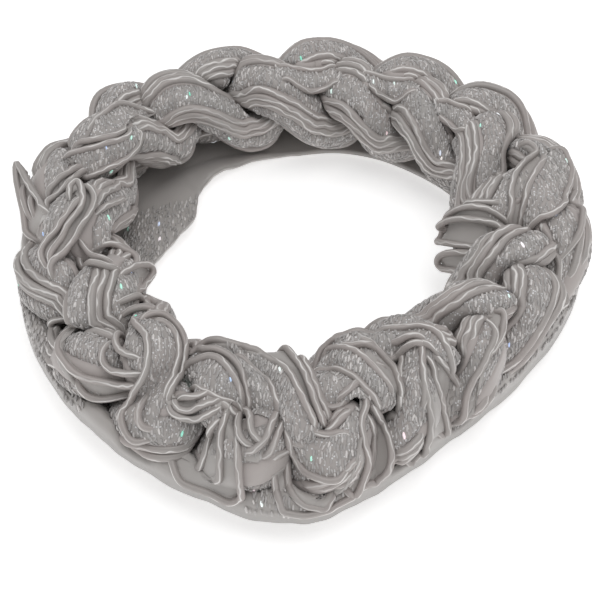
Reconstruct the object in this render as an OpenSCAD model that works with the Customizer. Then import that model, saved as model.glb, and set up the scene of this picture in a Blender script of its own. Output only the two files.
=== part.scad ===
// Hair tie: a soft ring plaited from three thick bundles of satin cord and knitted glitter tape.
// The plait lies on a gathered band of smooth fabric, which shows beside it in a few places.
// The origin is the middle of the ring's outline, on the surface that it rests on, with +Z up.

/* [Ring] */
// Mean radius of the plait's centre line
ring_r = 45.4; // [44:0.1:50]
// Height of the plait's centre line above the surface it rests on
centre_h = 13.4; // [13:0.1:15]

/* [Plait] */
// How far a strand swings to each side of the centre line
swing_w = 5.8; // [5.2:0.1:6.4]
// How far a strand swings above and below the centre line
swing_h = 4.8; // [4.4:0.1:5.2]
// Half width of a strand where nothing presses on it
strand_half_w = 8.4; // [7:0.1:9]
// Half height of a strand where nothing presses on it
strand_half_h = 7.8; // [7:0.1:8.5]
// Half width of the whole plait, which its lobes fill
plait_half_w = 13.6; // [12:0.1:15]
// Half height of the whole plait
plait_half_h = 11.9; // [11:0.1:13]
// Gap between two strands that lie on each other
strand_gap = 1.95; // [1.9:0.05:2.2]
// Depth of the grooves between a strand's cords
groove = 0.45; // [0:0.05:0.8]
// Gap at the seam, where the end of one strand meets the start of the next
seam_gap = 0.4; // [0.3:0.05:0.8]

/* [Base band] */
// Thickness of the gathered fabric
band_t = 1.6; // [1.2:0.1:2]
// Half width of the flat underside
band_flat = 6.5; // [5:0.5:7]
// Height of the soft waves along the band's two edges
band_wave = 0.8; // [0:0.1:1.2]
// Gap between the band and the strands on it
band_gap = 0.5; // [0.4:0.05:0.8]

/* [Fineness] */
// Sections of a strand for each lobe of the plait
lobe_steps = 8; // [8:1:12]
// Points round a strand's section, two for each cord
strand_points = 14; // [14:2:20]
// Sections round the base band
band_sections = 56; // [48:1:96]

/* [Hidden] */

// Each row is one inner lobe of the plait, in order round the ring from the back. Its columns are:
// the ring angle, how far the centre line lies outside its mean radius, the plait's spread as
// a ratio, the base band's reach inwards and the lift of that edge, its reach outwards and lift, and
// how many degrees the strands' path leans outwards
ANGLE = 0;
OUT_BY = 1;
SPREAD = 2;
IN_REACH = 3;
IN_LIFT = 4;
OUT_REACH = 5;
OUT_LIFT = 6;
LEAN = 7;
lobes = [
    [99, -1.6, 1.00, 8.2, 0.4, 9.9, 1.0, 5],
    [127, 1.6, 0.82, 13.2, 1.0, 10.5, 2.5, 15],
    [151, 3.2, 0.84, 21.5, 2.2, 14.0, 5.0, 20],
    [182, 1.0, 0.97, 14.5, 1.5, 12.5, 4.5, 26],
    [208, -0.8, 1.02, 10.0, 0.5, 13.8, 5.5, 28],
    [232, 0.0, 1.02, 10.0, 0.5, 13.5, 5.5, 30],
    [251, 0.2, 1.10, 10.0, 0.5, 15.0, 5.0, 32],
    [270, 0.6, 1.14, 10.0, 0.5, 16.5, 4.5, 32],
    [287, -2.6, 1.10, 9.5, 0.5, 13.5, 3.0, 30],
    [305, -4.6, 1.03, 9.0, 0.5, 11.0, 1.5, 26],
    [327, -3.1, 0.88, 8.5, 0.5, 10.5, 1.0, 18],
    [347, -0.2, 1.02, 8.5, 0.5, 12.2, 3.0, 16],
    [368, 1.8, 1.18, 8.5, 0.5, 13.5, 3.5, 24],
    [389, 3.0, 1.02, 6.5, 0.5, 11.0, 1.5, 14],
    [410, 0.7, 1.04, 5.6, 0.5, 10.2, 1.0, 6],
    [432, -0.8, 1.06, 5.6, 0.4, 9.9, 1.0, 2]
];
lobe_count = len(lobes);
section_count = lobe_count * lobe_steps;

// The plait's phase turns by a third between lobes, and a strand is on its way in at 225 degrees
lobe_phase = 120;
inner_phase = 225;
// The seam lies midway between the last lobe and the first
seam_at = -0.5;
// How sharply a strand's section turns from its round side to the face that meets another strand
corner_power = 6;
// Waves along the band's edges for each lobe
waves = 1.5;
// The least width of an edge of the band that turns up, and the width from which it lifts in full
edge_least = 0.6;
edge_full = 3;

// A row's value, with the table taken as endless and its angles growing by a turn each time
function row_value(i, column) =
    let(turns = floor(i / lobe_count), row = lobes[i - turns * lobe_count])
    row[column] + (column == ANGLE ? 360 * turns : 0);

// A smooth curve through the rows, read at any place between them
function along(u, column) =
    let(
        i = floor(u),
        t = u - i,
        a = row_value(i - 1, column),
        b = row_value(i, column),
        c = row_value(i + 1, column),
        d = row_value(i + 2, column)
    )
    b + t * (c - a + t * (2 * a - 5 * b + 4 * c - d + t * (3 * b - a - 3 * c + d))) / 2;

// The middle of a strand in the section at u, as distance out from the centre line and height
function strand_middle(u, strand) =
    let(
        phase = inner_phase + lobe_phase * (u + strand),
        x = swing_w * cos(phase),
        z = swing_h * sin(2 * phase),
        lean = along(u, LEAN)
    )
    [
        along(u, SPREAD) * (x * cos(lean) + z * sin(lean)),
        centre_h + z * cos(lean) - x * sin(lean)
    ];

// How far a strand reaches towards direction a, before the face midway to a neighbour
function face_reach(from, to, a, gap) =
    let(
        apart = norm(to - from),
        toward = ((to - from) * [cos(a), sin(a)]) / apart
    )
    toward > 0.01 ? (apart - gap) / 2 / toward : 1000;

// How far it reaches before it meets the base band
function floor_reach(from, a) =
    sin(a) < -0.01 ? (from.y - band_t - band_gap) / -sin(a) : 1000;

// How far it reaches before it meets the oval that the whole plait fills
function oval_reach(from, a, u) =
    let(
        half = [plait_half_w * along(u, SPREAD), plait_half_h],
        p = [from.x / half.x, (from.y - centre_h) / half.y],
        d = [cos(a) / half.x, sin(a) / half.y],
        slope = p * d
    )
    (sqrt(slope * slope + d * d * (1 - p * p)) - slope) / (d * d);

// The reaches are blended by a power mean, which never exceeds the least of them
function blend(reaches) =
    pow([for (r = reaches) pow(r, -corner_power)] * [for (r = reaches) 1], -1 / corner_power);

function strand_section(u, strand) =
    let(
        middle = strand_middle(u, strand),
        left = strand_middle(u, strand + 1),
        right = strand_middle(u, strand + 2),
        spread = along(u, SPREAD),
        half_w = strand_half_w * spread,
        gap = strand_gap / spread
    )
    [for (i = [0 : strand_points - 1])
        let(
            a = 360 * i / strand_points,
            free = 1 / norm([cos(a) / half_w, sin(a) / strand_half_h]),
            reach = blend([
                free,
                oval_reach(middle, a, u),
                face_reach(middle, left, a, gap),
                face_reach(middle, right, a, gap),
                floor_reach(middle, a)
            ])
        )
        middle + (reach - groove * (i % 2)) * [cos(a), sin(a)]
    ];

// The half width of the band's flat part, which narrows where the band's reach is short
function flat_part(reach) = min(band_flat, reach - edge_least);

// The band's height at x out from the centre line: flat under the plait, turned up at its edges
function band_height(u, x, reach, lift) =
    let(
        flat = flat_part(reach),
        part = max(0, (abs(x) - flat) / (reach - flat)),
        rise = min(1, (reach - flat) / edge_full)
    )
    part * rise * (lift + band_wave * (1 + sin(360 * waves * u)) / 2);

function band_section(u) =
    let(
        inner = along(u, IN_REACH),
        outer = along(u, OUT_REACH),
        flat = flat_part(inner),
        places = [-inner, -(inner + flat) / 2, -flat, flat_part(outer), outer],
        face = [for (x = places)
            let(
                reach = x < 0 ? inner : outer,
                lift = along(u, x < 0 ? IN_LIFT : OUT_LIFT)
            )
            [x, band_height(u, x, reach, lift)]
        ]
    )
    concat(
        [for (p = face) p + [0, band_t]],
        [for (i = [len(face) - 1 : -1 : 0]) face[i]]
    );

// A section's points set out in the ring's own plane at angle a
function set_out(section, a, radius) =
    [for (p = section) [(radius + p.x) * cos(a), (radius + p.x) * sin(a), p.y]];

function place(section, u, less) =
    set_out(section, along(u, ANGLE) - less, ring_r + along(u, OUT_BY));

// A strand's sections run once round, and the last one stops short of the seam
function strand_rings(strand) =
    [for (i = [0 : section_count])
        let(
            u = seam_at + i / lobe_steps,
            less = i == section_count ? seam_gap / ring_r * 180 / PI : 0
        )
        place(strand_section(u, strand), u, less)
    ];

function band_rings() =
    [for (i = [0 : band_sections - 1])
        let(u = lobe_count * i / band_sections)
        place(band_section(u), u, 0)
    ];

function all_points(rings) = [for (ring = rings) for (p = ring) p];

// Two triangles for each cell between neighbouring rings, and a cap at each end of an open tube
function skin_faces(rings, closed) =
    let(
        ring_total = len(rings),
        n = len(rings[0]),
        bands = closed ? ring_total : ring_total - 1
    )
    concat(
        [for (i = [0 : bands - 1]) for (j = [0 : n - 1])
            let(
                a = i * n + j,
                b = i * n + (j + 1) % n,
                c = ((i + 1) % ring_total) * n + (j + 1) % n,
                d = ((i + 1) % ring_total) * n + j
            )
            each [[a, b, c], [a, c, d]]
        ],
        closed ? [] : [
            [for (j = [n - 1 : -1 : 0]) j],
            [for (j = [0 : n - 1]) (ring_total - 1) * n + j]
        ]
    );

// The shift that brings the whole outline's middle to the origin
function middle_of(values) = (min(values) + max(values)) / 2;
outline = concat(
    all_points(band_rings()),
    all_points(strand_rings(0)),
    all_points(strand_rings(1)),
    all_points(strand_rings(2))
);
to_origin = -[middle_of([for (p = outline) p.x]), middle_of([for (p = outline) p.y]), 0];

module skin(rings, closed) {
    translate(to_origin)
        polyhedron(points = all_points(rings), faces = skin_faces(rings, closed), convexity = 10);
}

// The gathered fabric band under the plait, a closed ring
module base_band() {
    color([0.49, 0.47, 0.46])
        skin([for (ring = band_rings()) [for (i = [len(ring) - 1 : -1 : 0]) ring[i]]], true);
}

// One bundle of the plait, once round the ring
module strand(number, tone) {
    color(tone)
        skin(strand_rings(number), false);
}

module strand_a() {
    strand(0, [0.66, 0.65, 0.64]);
}

module strand_b() {
    strand(1, [0.61, 0.60, 0.60]);
}

module strand_c() {
    strand(2, [0.57, 0.56, 0.57]);
}

base_band();
strand_a();
strand_b();
strand_c();
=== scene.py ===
# Hair tie: the satin cords, glitter tapes and fabric of a plaited ring, built round its solids.
# Lengths are worked out in millimetres in the ring's own plan, and meshes are made in metres.

import math
from functools import cache

import bmesh
import bpy
import numpy as np
from bpy.props import FloatProperty, FloatVectorProperty, IntProperty, PointerProperty
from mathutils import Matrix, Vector


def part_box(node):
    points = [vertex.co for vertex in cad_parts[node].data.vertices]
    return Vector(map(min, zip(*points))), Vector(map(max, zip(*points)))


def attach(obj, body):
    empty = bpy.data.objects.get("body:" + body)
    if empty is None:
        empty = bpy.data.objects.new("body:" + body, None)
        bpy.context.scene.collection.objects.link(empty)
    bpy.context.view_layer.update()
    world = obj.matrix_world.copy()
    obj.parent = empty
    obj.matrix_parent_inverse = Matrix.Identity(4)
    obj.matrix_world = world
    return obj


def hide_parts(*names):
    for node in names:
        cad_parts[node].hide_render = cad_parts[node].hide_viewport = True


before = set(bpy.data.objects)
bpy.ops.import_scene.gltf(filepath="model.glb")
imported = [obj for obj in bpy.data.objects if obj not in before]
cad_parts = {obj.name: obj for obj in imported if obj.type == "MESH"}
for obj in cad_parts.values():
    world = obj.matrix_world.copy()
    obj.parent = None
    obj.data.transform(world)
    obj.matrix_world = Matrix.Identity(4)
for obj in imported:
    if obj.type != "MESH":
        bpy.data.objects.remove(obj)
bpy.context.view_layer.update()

bl_info = {
    "name": "Plaited Hair Tie",
    "version": (1, 0, 0),
    "blender": (4, 5, 0),
    "location": "3D View > Sidebar > Hair Tie",
    "description": "Builds a hair tie plaited from satin cords and glitter tapes on a fabric band",
    "category": "Add Mesh",
}

BODY = "root"
MM = 0.001
STRANDS = ("strand_a", "strand_b", "strand_c")

# Each row is one inner lobe of the plait, in order round the ring from the back. Its columns are
# the ring angle, how far the centre line lies outside its mean radius, the plait's spread as a
# ratio, the band's reach inwards and the lift of that edge, its reach outwards and lift, and how
# many degrees the strands' path leans outwards
ANGLE, OUT_BY, SPREAD, IN_REACH, IN_LIFT, OUT_REACH, OUT_LIFT, LEAN = range(8)
LOBES = np.array([
    [99, -1.6, 1.00, 8.2, 0.4, 9.9, 1.0, 5],
    [127, 1.6, 0.82, 13.2, 1.0, 10.5, 2.5, 15],
    [151, 3.2, 0.84, 21.5, 2.2, 14.0, 5.0, 20],
    [182, 1.0, 0.97, 14.5, 1.5, 12.5, 4.5, 26],
    [208, -0.8, 1.02, 10.0, 0.5, 13.8, 5.5, 28],
    [232, 0.0, 1.02, 10.0, 0.5, 13.5, 5.5, 30],
    [251, 0.2, 1.10, 10.0, 0.5, 15.0, 5.0, 32],
    [270, 0.6, 1.14, 10.0, 0.5, 16.5, 4.5, 32],
    [287, -2.6, 1.10, 9.5, 0.5, 13.5, 3.0, 30],
    [305, -4.6, 1.03, 9.0, 0.5, 11.0, 1.5, 26],
    [327, -3.1, 0.88, 8.5, 0.5, 10.5, 1.0, 18],
    [347, -0.2, 1.02, 8.5, 0.5, 12.2, 3.0, 16],
    [368, 1.8, 1.18, 8.5, 0.5, 13.5, 3.5, 24],
    [389, 3.0, 1.02, 6.5, 0.5, 11.0, 1.5, 14],
    [410, 0.7, 1.04, 5.6, 0.5, 10.2, 1.0, 6],
    [432, -0.8, 1.06, 5.6, 0.4, 9.9, 1.0, 2],
])
LOBE_COUNT = len(LOBES)
ROUND = 3 * LOBE_COUNT

# The plait's own sizes, in millimetres, the same as the solids'
RING_R = 45.4
CENTRE_H = 13.4
SWING_W, SWING_H = 5.8, 4.8
STRAND_HALF_W, STRAND_HALF_H = 8.4, 7.8
PLAIT_HALF_W, PLAIT_HALF_H = 13.6, 11.9
BAND_T = 1.6
BAND_FLAT = 6.5
BAND_WAVE = 0.8
BAND_GAP = 0.5
LOBE_PHASE = 120
INNER_PHASE = 225
SEAM_AT = -0.5
CORNER_POWER = 6
WAVES = 1.5
EDGE_LEAST = 0.6
EDGE_FULL = 3
BAND_SECTIONS = 56

# The gap between the dressed strands, which is narrower than the solids'
SKIN_GAP = 0.5
# A reach that never counts, and the least that a direction leans to a neighbour to be stopped by it
NO_REACH = 1000
LEAST_LEAN = 0.01

# What a strand is sewn from, side by side round its outline: c is a satin cord, t a glitter tape
BUNDLE = "tccctcccctccc"
# The room that a tape takes beside the cords, as a ratio of its width
TAPE_ROOM = 1.12
# How far a tape's middle and, beyond that, its edges lie under the strand's skin
TAPE_DEPTH = 0.35
TAPE_EDGE_DEPTH = 0.7
TAPE_THICKNESS = 0.9
# How steeply a tape's edges bend down, how far it strays, as a share of the way round its strand, and
# how much of its room it fills
TAPE_EDGE_POWER = 2.4
TAPE_WANDER = 0.010
TAPE_FILL = 0.97
# How far a tape's room goes from its middle, as a share of it, and over how much of the way round the
# strand it gives way to the cords
TAPE_REACH = 0.52
TAPE_EASE = 0.02
# Points across a tape's face
TAPE_ACROSS = 9
# Where a tape's rows of loops lie across it, as shares of its width from its middle
TAPE_COLUMNS = (-0.40, -0.24, -0.08, 0.08, 0.24, 0.40)
# The glitter thread's loops lie mostly fore and aft, whichever way their tape runs
FORE_AND_AFT = np.array([0, 0.8, 0.6])
# How bare a tape has to be to be stitched, how far its loops slip along and across, as shares of the
# stitch pitch, how much their lie strays, and how far they stand off, as a share of the tape's width
STITCHED_FROM = 0.80
SLIP_ALONG = 0.24
SLIP_ACROSS = 0.20
LIE_STRAY = 0.16
LOOP_RISE = 0.010

# How far a loose cord presses into what it lies on, and its width as a share of the others'
LOOSE_DEPTH = 0.9
LOOSE_WIDTH = 0.78
# Millimetres between a loose cord's points, its points to each kink, and how many degrees a kink
# goes aside
POINT_STEP = 0.5
KINK_POINTS = 8
KINK_TURN = 1.6
# How far under the plait's middle a cord that stands off it is kept inside the band's rim, and by
# how much
RIM_BELOW = 4
RIM_INSET = 0.4
# How far off the skin the end of a loose cord is, where it is tucked in
TUCKED = -2.5
# How far the cloth between two loose cords lies under their middles, how far it sags between them,
# how far the plait's skin may push through it, and its least height
WEB_DEPTH = 0.35
WEB_SLACK = 0.5
WEB_SINK = 0.6
WEB_LEAST = 0.8
WEB_THICKNESS = 0.7
# Millimetres for each lobe and for each radian round the plait, by which a cord's points are spaced
LOBE_RUN = 18
TURN_RUN = 13

# How far a cord goes down where it has sunk into its strand, and over how many lobes and degrees
SUNK_DEPTH = 2.4
SUNK_EASE = 0.12
SUNK_EASE_TURN = 10

# How far the band's soft folds puff up at its outer and its inner edge, and its least height
PUFF_OUT = 7.0
PUFF_IN = 0.6
BAND_LEAST = 1.2
# How far the band's small gathers go up and down, and how far the plait presses into the band
GATHER_DEPTH = 0.16
PLAIT_PRESS = 0.6

# The photograph is 600 pixels square. At its ring's middle a pixel is 0.205 mm
IMAGE_SIZE = 600
PIXEL_MM = 0.205
CAMERA_ELEVATION = 50
CAMERA_DISTANCE_MM = 260
LOOK_AT_MM = (-1.2, -2.6, 12.5)
LOOK_AT_PIXEL = (298, 262)
# The camera's sensor, whose width sets its lens
SENSOR_MM = 36


# Curves and runs

def bend(a, b, c, d, t):
    """A smooth curve that goes from b to c as t goes from 0 to 1, with a before it and d after."""
    return b + t * (c - a + t * (2 * a - 5 * b + 4 * c - d + t * (3 * b - a - 3 * c + d))) / 2


def endless(values, at):
    """A smooth curve through values that repeat without end, read at any place between them."""
    i = np.floor(at).astype(int)
    return bend(*(values[(i + k) % len(values)] for k in (-1, 0, 1, 2)), at - i)


def smooth_noise(t, step, seed):
    """Even noise from -1 to 1 along the whole plaited length, with a bend about every step lobes."""
    knots = max(4, round(ROUND / step))
    values = np.random.default_rng(seed).uniform(-1, 1, knots)
    return endless(values, np.asarray(t, float) / ROUND * knots)


def fade_in(value, start, width):
    """A share that goes from 0 to 1 over a width of values from the start."""
    return np.clip((value - start) / width, 0, 1)


def run_along(line):
    """How far along a line each of its points is."""
    return np.concatenate([[0], np.cumsum(np.linalg.norm(np.diff(line, axis=0), axis=1))])


def heading(angle):
    """An angle as a direction."""
    return np.stack([np.cos(angle), np.sin(angle)], -1)


# The ring's plan

def along(u, column):
    """A smooth curve through the lobe rows, read at any place round the ring."""
    u = np.asarray(u, float)
    i = np.floor(u).astype(int)

    def row(j):
        values = LOBES[j % LOBE_COUNT, column]
        return values + 360.0 * (j // LOBE_COUNT) if column == ANGLE else values

    return bend(row(i - 1), row(i), row(i + 1), row(i + 2), u - i)


def ring_point(u, x, z):
    """The point x out from the centre line and z up, in the section at u, before centring."""
    turn = np.radians(along(u, ANGLE))
    radius = RING_R + along(u, OUT_BY) + x
    return np.stack([radius * np.cos(turn), radius * np.sin(turn), z + 0 * radius], -1)


def band_edge(u, x):
    """How far x lies over the band's turned-up edge, from 0 to 1 and on, and how much of it lifts."""
    reach = np.where(x < 0, along(u, IN_REACH), along(u, OUT_REACH))
    flat = np.minimum(BAND_FLAT, reach - EDGE_LEAST)
    part = np.clip((np.abs(x) - flat) / (reach - flat), 0, None)
    return part, np.minimum(1, (reach - flat) / EDGE_FULL)


def band_height(u, x):
    """Height of the band's underside at x out from the centre line."""
    part, rise = band_edge(u, x)
    lift = np.where(x < 0, along(u, IN_LIFT), along(u, OUT_LIFT))
    return part * rise * (lift + BAND_WAVE * (1 + np.sin(2 * np.pi * WAVES * u)) / 2)


def to_origin():
    """The shift from the ring's plan to the solids' own origin, read off the base band's box."""
    u = LOBE_COUNT * np.arange(BAND_SECTIONS) / BAND_SECTIONS
    edges = np.concatenate([ring_point(u, -along(u, IN_REACH), 0), ring_point(u, along(u, OUT_REACH), 0)])
    low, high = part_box("base_band")
    plan_mid = (edges.min(0) + edges.max(0)) / 2
    return np.array([(low.x + high.x) / 2 / MM, (low.y + high.y) / 2 / MM, 0]) - plan_mid * [1, 1, 0]


SHIFT = to_origin()


def place(u, x, z):
    """The point x out from the centre line and z up, in the section at u, in metres."""
    return (ring_point(u, x, z) + SHIFT) * MM


def section_way(u, flat):
    """A direction in the section at u, given as outwards and up, as a direction in space."""
    turn = np.radians(along(u, ANGLE))
    return np.stack([flat[..., 0] * np.cos(turn), flat[..., 0] * np.sin(turn), flat[..., 1]], -1)


# The strands' outlines

def strand_middle(u, strand):
    """The middle of a strand in the section at u: distance out and height."""
    phase = np.radians(INNER_PHASE + LOBE_PHASE * (u + strand))
    x, z = SWING_W * np.cos(phase), SWING_H * np.sin(2 * phase)
    lean = np.radians(along(u, LEAN))
    return np.stack([
        along(u, SPREAD) * (x * np.cos(lean) + z * np.sin(lean)),
        CENTRE_H + z * np.cos(lean) - x * np.sin(lean),
    ], -1)


def reach_to(room, lean):
    """How far a direction goes before it meets a face, from the room to it and its lean to it."""
    return np.where(lean > LEAST_LEAN, room / np.maximum(lean, LEAST_LEAN), NO_REACH)


def reaches(u, strand, angle, gap):
    """How far a strand reaches from its middle towards each angle, and how far if it lay alone."""
    spread = along(u, SPREAD)[:, None]
    middle = strand_middle(u, strand)
    way = heading(angle)
    alone = 1 / np.hypot(way[..., 0] / (STRAND_HALF_W * spread), way[..., 1] / STRAND_HALF_H)
    half = np.stack([PLAIT_HALF_W * spread[:, 0], np.full(len(u), PLAIT_HALF_H)], -1)
    p = ((middle - [0, CENTRE_H]) / half)[:, None, :]
    d = way / half[:, None, :]
    pd, dd, pp = (p * d).sum(-1), (d * d).sum(-1), (p * p).sum(-1)
    oval = (np.sqrt(pd * pd + dd * (1 - pp)) - pd) / dd
    free = (alone ** -CORNER_POWER + oval ** -CORNER_POWER) ** (-1 / CORNER_POWER)
    total = free ** -CORNER_POWER
    for other in (strand + 1, strand + 2):
        to = strand_middle(u, other) - middle
        apart = np.hypot(to[:, 0], to[:, 1])[:, None]
        toward = (way * to[:, None, :]).sum(-1) / apart
        total = total + reach_to((apart - gap) / 2, toward) ** -CORNER_POWER
    room = (middle[:, 1] - BAND_T - BAND_GAP)[:, None]
    total = total + reach_to(room, -way[..., 1]) ** -CORNER_POWER
    return total ** (-1 / CORNER_POWER), free


# The hollows of a strand's skin: how many go round it, how deep they are, and in how many lobes they
# change. Then how much deeper they all lie, and how far they may rise over the skin instead
DENTS = ((1, 0.35, 0.6), (2, 0.40, 0.4), (3, 0.30, 0.3), (5, 0.18, 0.25))
DENTS_DEEPER = 0.25
DENTS_RISE = 0.2
# How bare the skin is where the hollows start, and how much barer it is where they are full
DENTS_FROM = 0.8
DENTS_OVER = 0.2


def dents(t, angle):
    """Soft hollows of a strand's skin, in millimetres, which change as it goes round and along."""
    total = np.zeros_like(angle)
    for n, depth, step in DENTS:
        for kind, wave in enumerate((np.sin, np.cos)):
            swell = depth * smooth_noise(t, step, 600 + 10 * n + kind)
            total += swell[:, None] * wave(n * angle)
    return np.maximum(total + DENTS_DEEPER, -DENTS_RISE)


# For each inner lobe, and for the outer lobe after it: how many degrees a glitter tape lies past
# the top of the strand, where more brings it inwards
ROLLS = np.array([
    [10, -8], [30, -8], [-34, 5], [-36, -5], [-50, -10], [-31, -56], [-64, -30], [-68, -34],
    [-66, -30], [-60, -25], [-46, -15], [-36, 0], [6, 10], [-12, -5], [30, -8], [36, -8],
])
# A strand's length in lobes from each inner or outer lobe to the next, and to the first from its start
LOBE_STEP = 1.5
FIRST_LOBE = 0.5


def roll(t):
    """How far a strand's outline is turned as it goes, in degrees, so that each lobe shows its own."""
    knots = np.arange(2 * LOBE_COUNT)
    u = (FIRST_LOBE + LOBE_STEP * knots) % LOBE_COUNT + SEAM_AT
    values = ROLLS[np.floor(u).astype(int) % LOBE_COUNT, knots % 2]
    stray = 6.0 * smooth_noise(t, 0.9, 12)
    return endless(values, (np.asarray(t, float) - FIRST_LOBE) / LOBE_STEP) + stray


class Skin:
    """A strand's outline at many sections, with even places round it counted from its top."""

    PLACES = 144
    PER_LOBE = 20

    def __init__(self, strand):
        self.u = SEAM_AT + np.arange(LOBE_COUNT * self.PER_LOBE + 1) / self.PER_LOBE
        self.t = self.u - SEAM_AT + LOBE_COUNT * strand
        start = math.pi / 2 + np.radians(roll(self.t))
        fine = np.linspace(0, 2 * math.pi, 2 * self.PLACES, endpoint=False)
        angle = start[:, None] + fine[None, :]
        reach, free = reaches(self.u, strand, angle, SKIN_GAP)
        reach = reach - dents(self.t, angle) * fade_in(reach / free, DENTS_FROM, DENTS_OVER)
        ring = strand_middle(self.u, strand)[:, None, :] + reach[..., None] * heading(angle)
        steps = np.linalg.norm(np.roll(ring, -1, 1) - ring, axis=2)
        run = np.concatenate([np.zeros((len(self.u), 1)), np.cumsum(steps, 1)], 1)
        # A table of out, up and how bare the skin is, whose first row comes again after its last
        table = np.concatenate([ring, (reach / free)[..., None]], 2)
        table = np.concatenate([table, table[:, :1]], 1)
        part = np.arange(self.PLACES) / self.PLACES
        even = np.stack([
            np.stack([np.interp(part * far[-1], far, rows[:, k]) for k in range(3)], -1)
            for far, rows in zip(run, table)
        ])
        self.points, self.bare = even[..., :2], even[..., 2]
        ahead = np.roll(self.points, -1, 1) - np.roll(self.points, 1, 1)
        self.out = np.stack([ahead[..., 1], -ahead[..., 0]], -1)
        self.out /= np.linalg.norm(self.out, axis=2)[..., None]

    def read(self, table, part):
        """A value of the outline at a share of the way round, which may differ at each section."""
        part = np.broadcast_to(part, (len(self.u),)) % 1.0 * self.PLACES
        i = np.floor(part).astype(int) % self.PLACES
        f = part - np.floor(part)
        rows = np.arange(len(self.u))
        low, high = table[rows, i], table[rows, (i + 1) % self.PLACES]
        if table.ndim == 3:
            f = f[:, None]
        return low * (1 - f) + high * f

    def line(self, part, depth):
        """The line that runs along the strand at a share of the way round, depth under its skin."""
        flat = self.read(self.points, part) - self.read(self.out, part) * np.asarray(depth)[..., None]
        return place(self.u, flat[:, 0], flat[:, 1])


@cache
def skin(strand):
    """A strand's outline, worked out once."""
    return Skin(strand)


def bundle_places(sizes):
    """The kind, the share of the way round and the share of width of each cord and tape of a bundle."""
    widths = [
        (sizes.cord_width if part == "c" else sizes.tape_width * TAPE_ROOM) / MM for part in BUNDLE
    ]
    total = sum(widths)
    at = 0
    places = []
    for part, width in zip(BUNDLE, widths):
        places.append((part, (at + width / 2) / total, width / total))
        at += width
    middle = places[0][1]
    return [(part, (centre - middle) % 1.0, width) for part, centre, width in places]


def bundle_parts(sizes, kind):
    """The number, share of the way round and share of width of a bundle's parts of one kind."""
    places = enumerate(bundle_places(sizes))
    return [(number, centre, width) for number, (part, centre, width) in places if part == kind]


def tape_share(part, sizes):
    """How far a share of the way round a bundle lies on a tape: 1 on its middle, 0 on a cord."""
    most = 0
    for _, centre, width in bundle_parts(sizes, "t"):
        apart = abs((part - centre + 0.5) % 1.0 - 0.5)
        most = max(most, min(1, max(0, (TAPE_REACH * width - apart) / TAPE_EASE)))
    return most


def tape_surface(strand, centre, share):
    """A tape's face as points (section, place across) in metres, with its own gentle crown."""
    outline = skin(strand)
    seed = round(centre * 97)
    wander = TAPE_WANDER * smooth_noise(outline.t, 1.1, 300 + seed)
    crown = 0.35 * smooth_noise(outline.t, 0.8, 400 + seed)
    rows = []
    for s in np.linspace(0.5, -0.5, TAPE_ACROSS):
        edge = TAPE_EDGE_DEPTH * (2 * abs(s)) ** TAPE_EDGE_POWER
        depth = TAPE_DEPTH + edge - 0.4 * np.clip(crown, -0.4, 1)
        rows.append(outline.line(centre + wander + s * share * TAPE_FILL, depth))
    return np.stack(rows, 1)


def surface_frames(surface):
    """The directions along, across and out of a surface of points (section, place across)."""
    forward = np.gradient(surface, axis=0)
    aside = np.gradient(surface, axis=1)
    out = np.cross(aside, forward)
    for v in (forward, aside, out):
        v /= np.linalg.norm(v, axis=2)[..., None] + 1e-12
    return forward, aside, out


class Reach:
    """The plait's outermost skin, read at any place round the ring and any angle round the plait."""

    ANGLES = 180

    def __init__(self):
        outlines = [skin(strand) for strand in range(3)]
        self.u = outlines[0].u
        self.table = np.zeros((len(self.u), self.ANGLES))
        rows = np.arange(len(self.u))[:, None]
        for outline in outlines:
            ahead = np.roll(outline.points, -1, 1)
            for share in np.linspace(0, 1, 5)[:-1]:
                at = outline.points * (1 - share) + ahead * share - [0, CENTRE_H]
                turn = np.degrees(np.arctan2(at[..., 1], at[..., 0])) % 360
                column = np.round(turn / 360 * self.ANGLES).astype(int) % self.ANGLES
                np.maximum.at(self.table, (rows + 0 * column, column), np.hypot(at[..., 0], at[..., 1]))

    def read(self, u, turn):
        """The reach at u in the direction turn, in degrees from outwards through up."""
        i = (np.asarray(u) - SEAM_AT) % LOBE_COUNT / (self.u[1] - self.u[0])
        j = np.asarray(turn) % 360 / 360 * self.ANGLES
        low, f = np.floor(i).astype(int), i - np.floor(i)
        near, g = np.floor(j).astype(int), j - np.floor(j)
        high, far = np.minimum(low + 1, len(self.u) - 1), (near + 1) % self.ANGLES
        near = near % self.ANGLES
        here = self.table[low, near] * (1 - g) + self.table[low, far] * g
        there = self.table[high, near] * (1 - g) + self.table[high, far] * g
        return here * (1 - f) + there * f


@cache
def plait_reach():
    """The plait's reach, worked out once."""
    return Reach()


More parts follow.
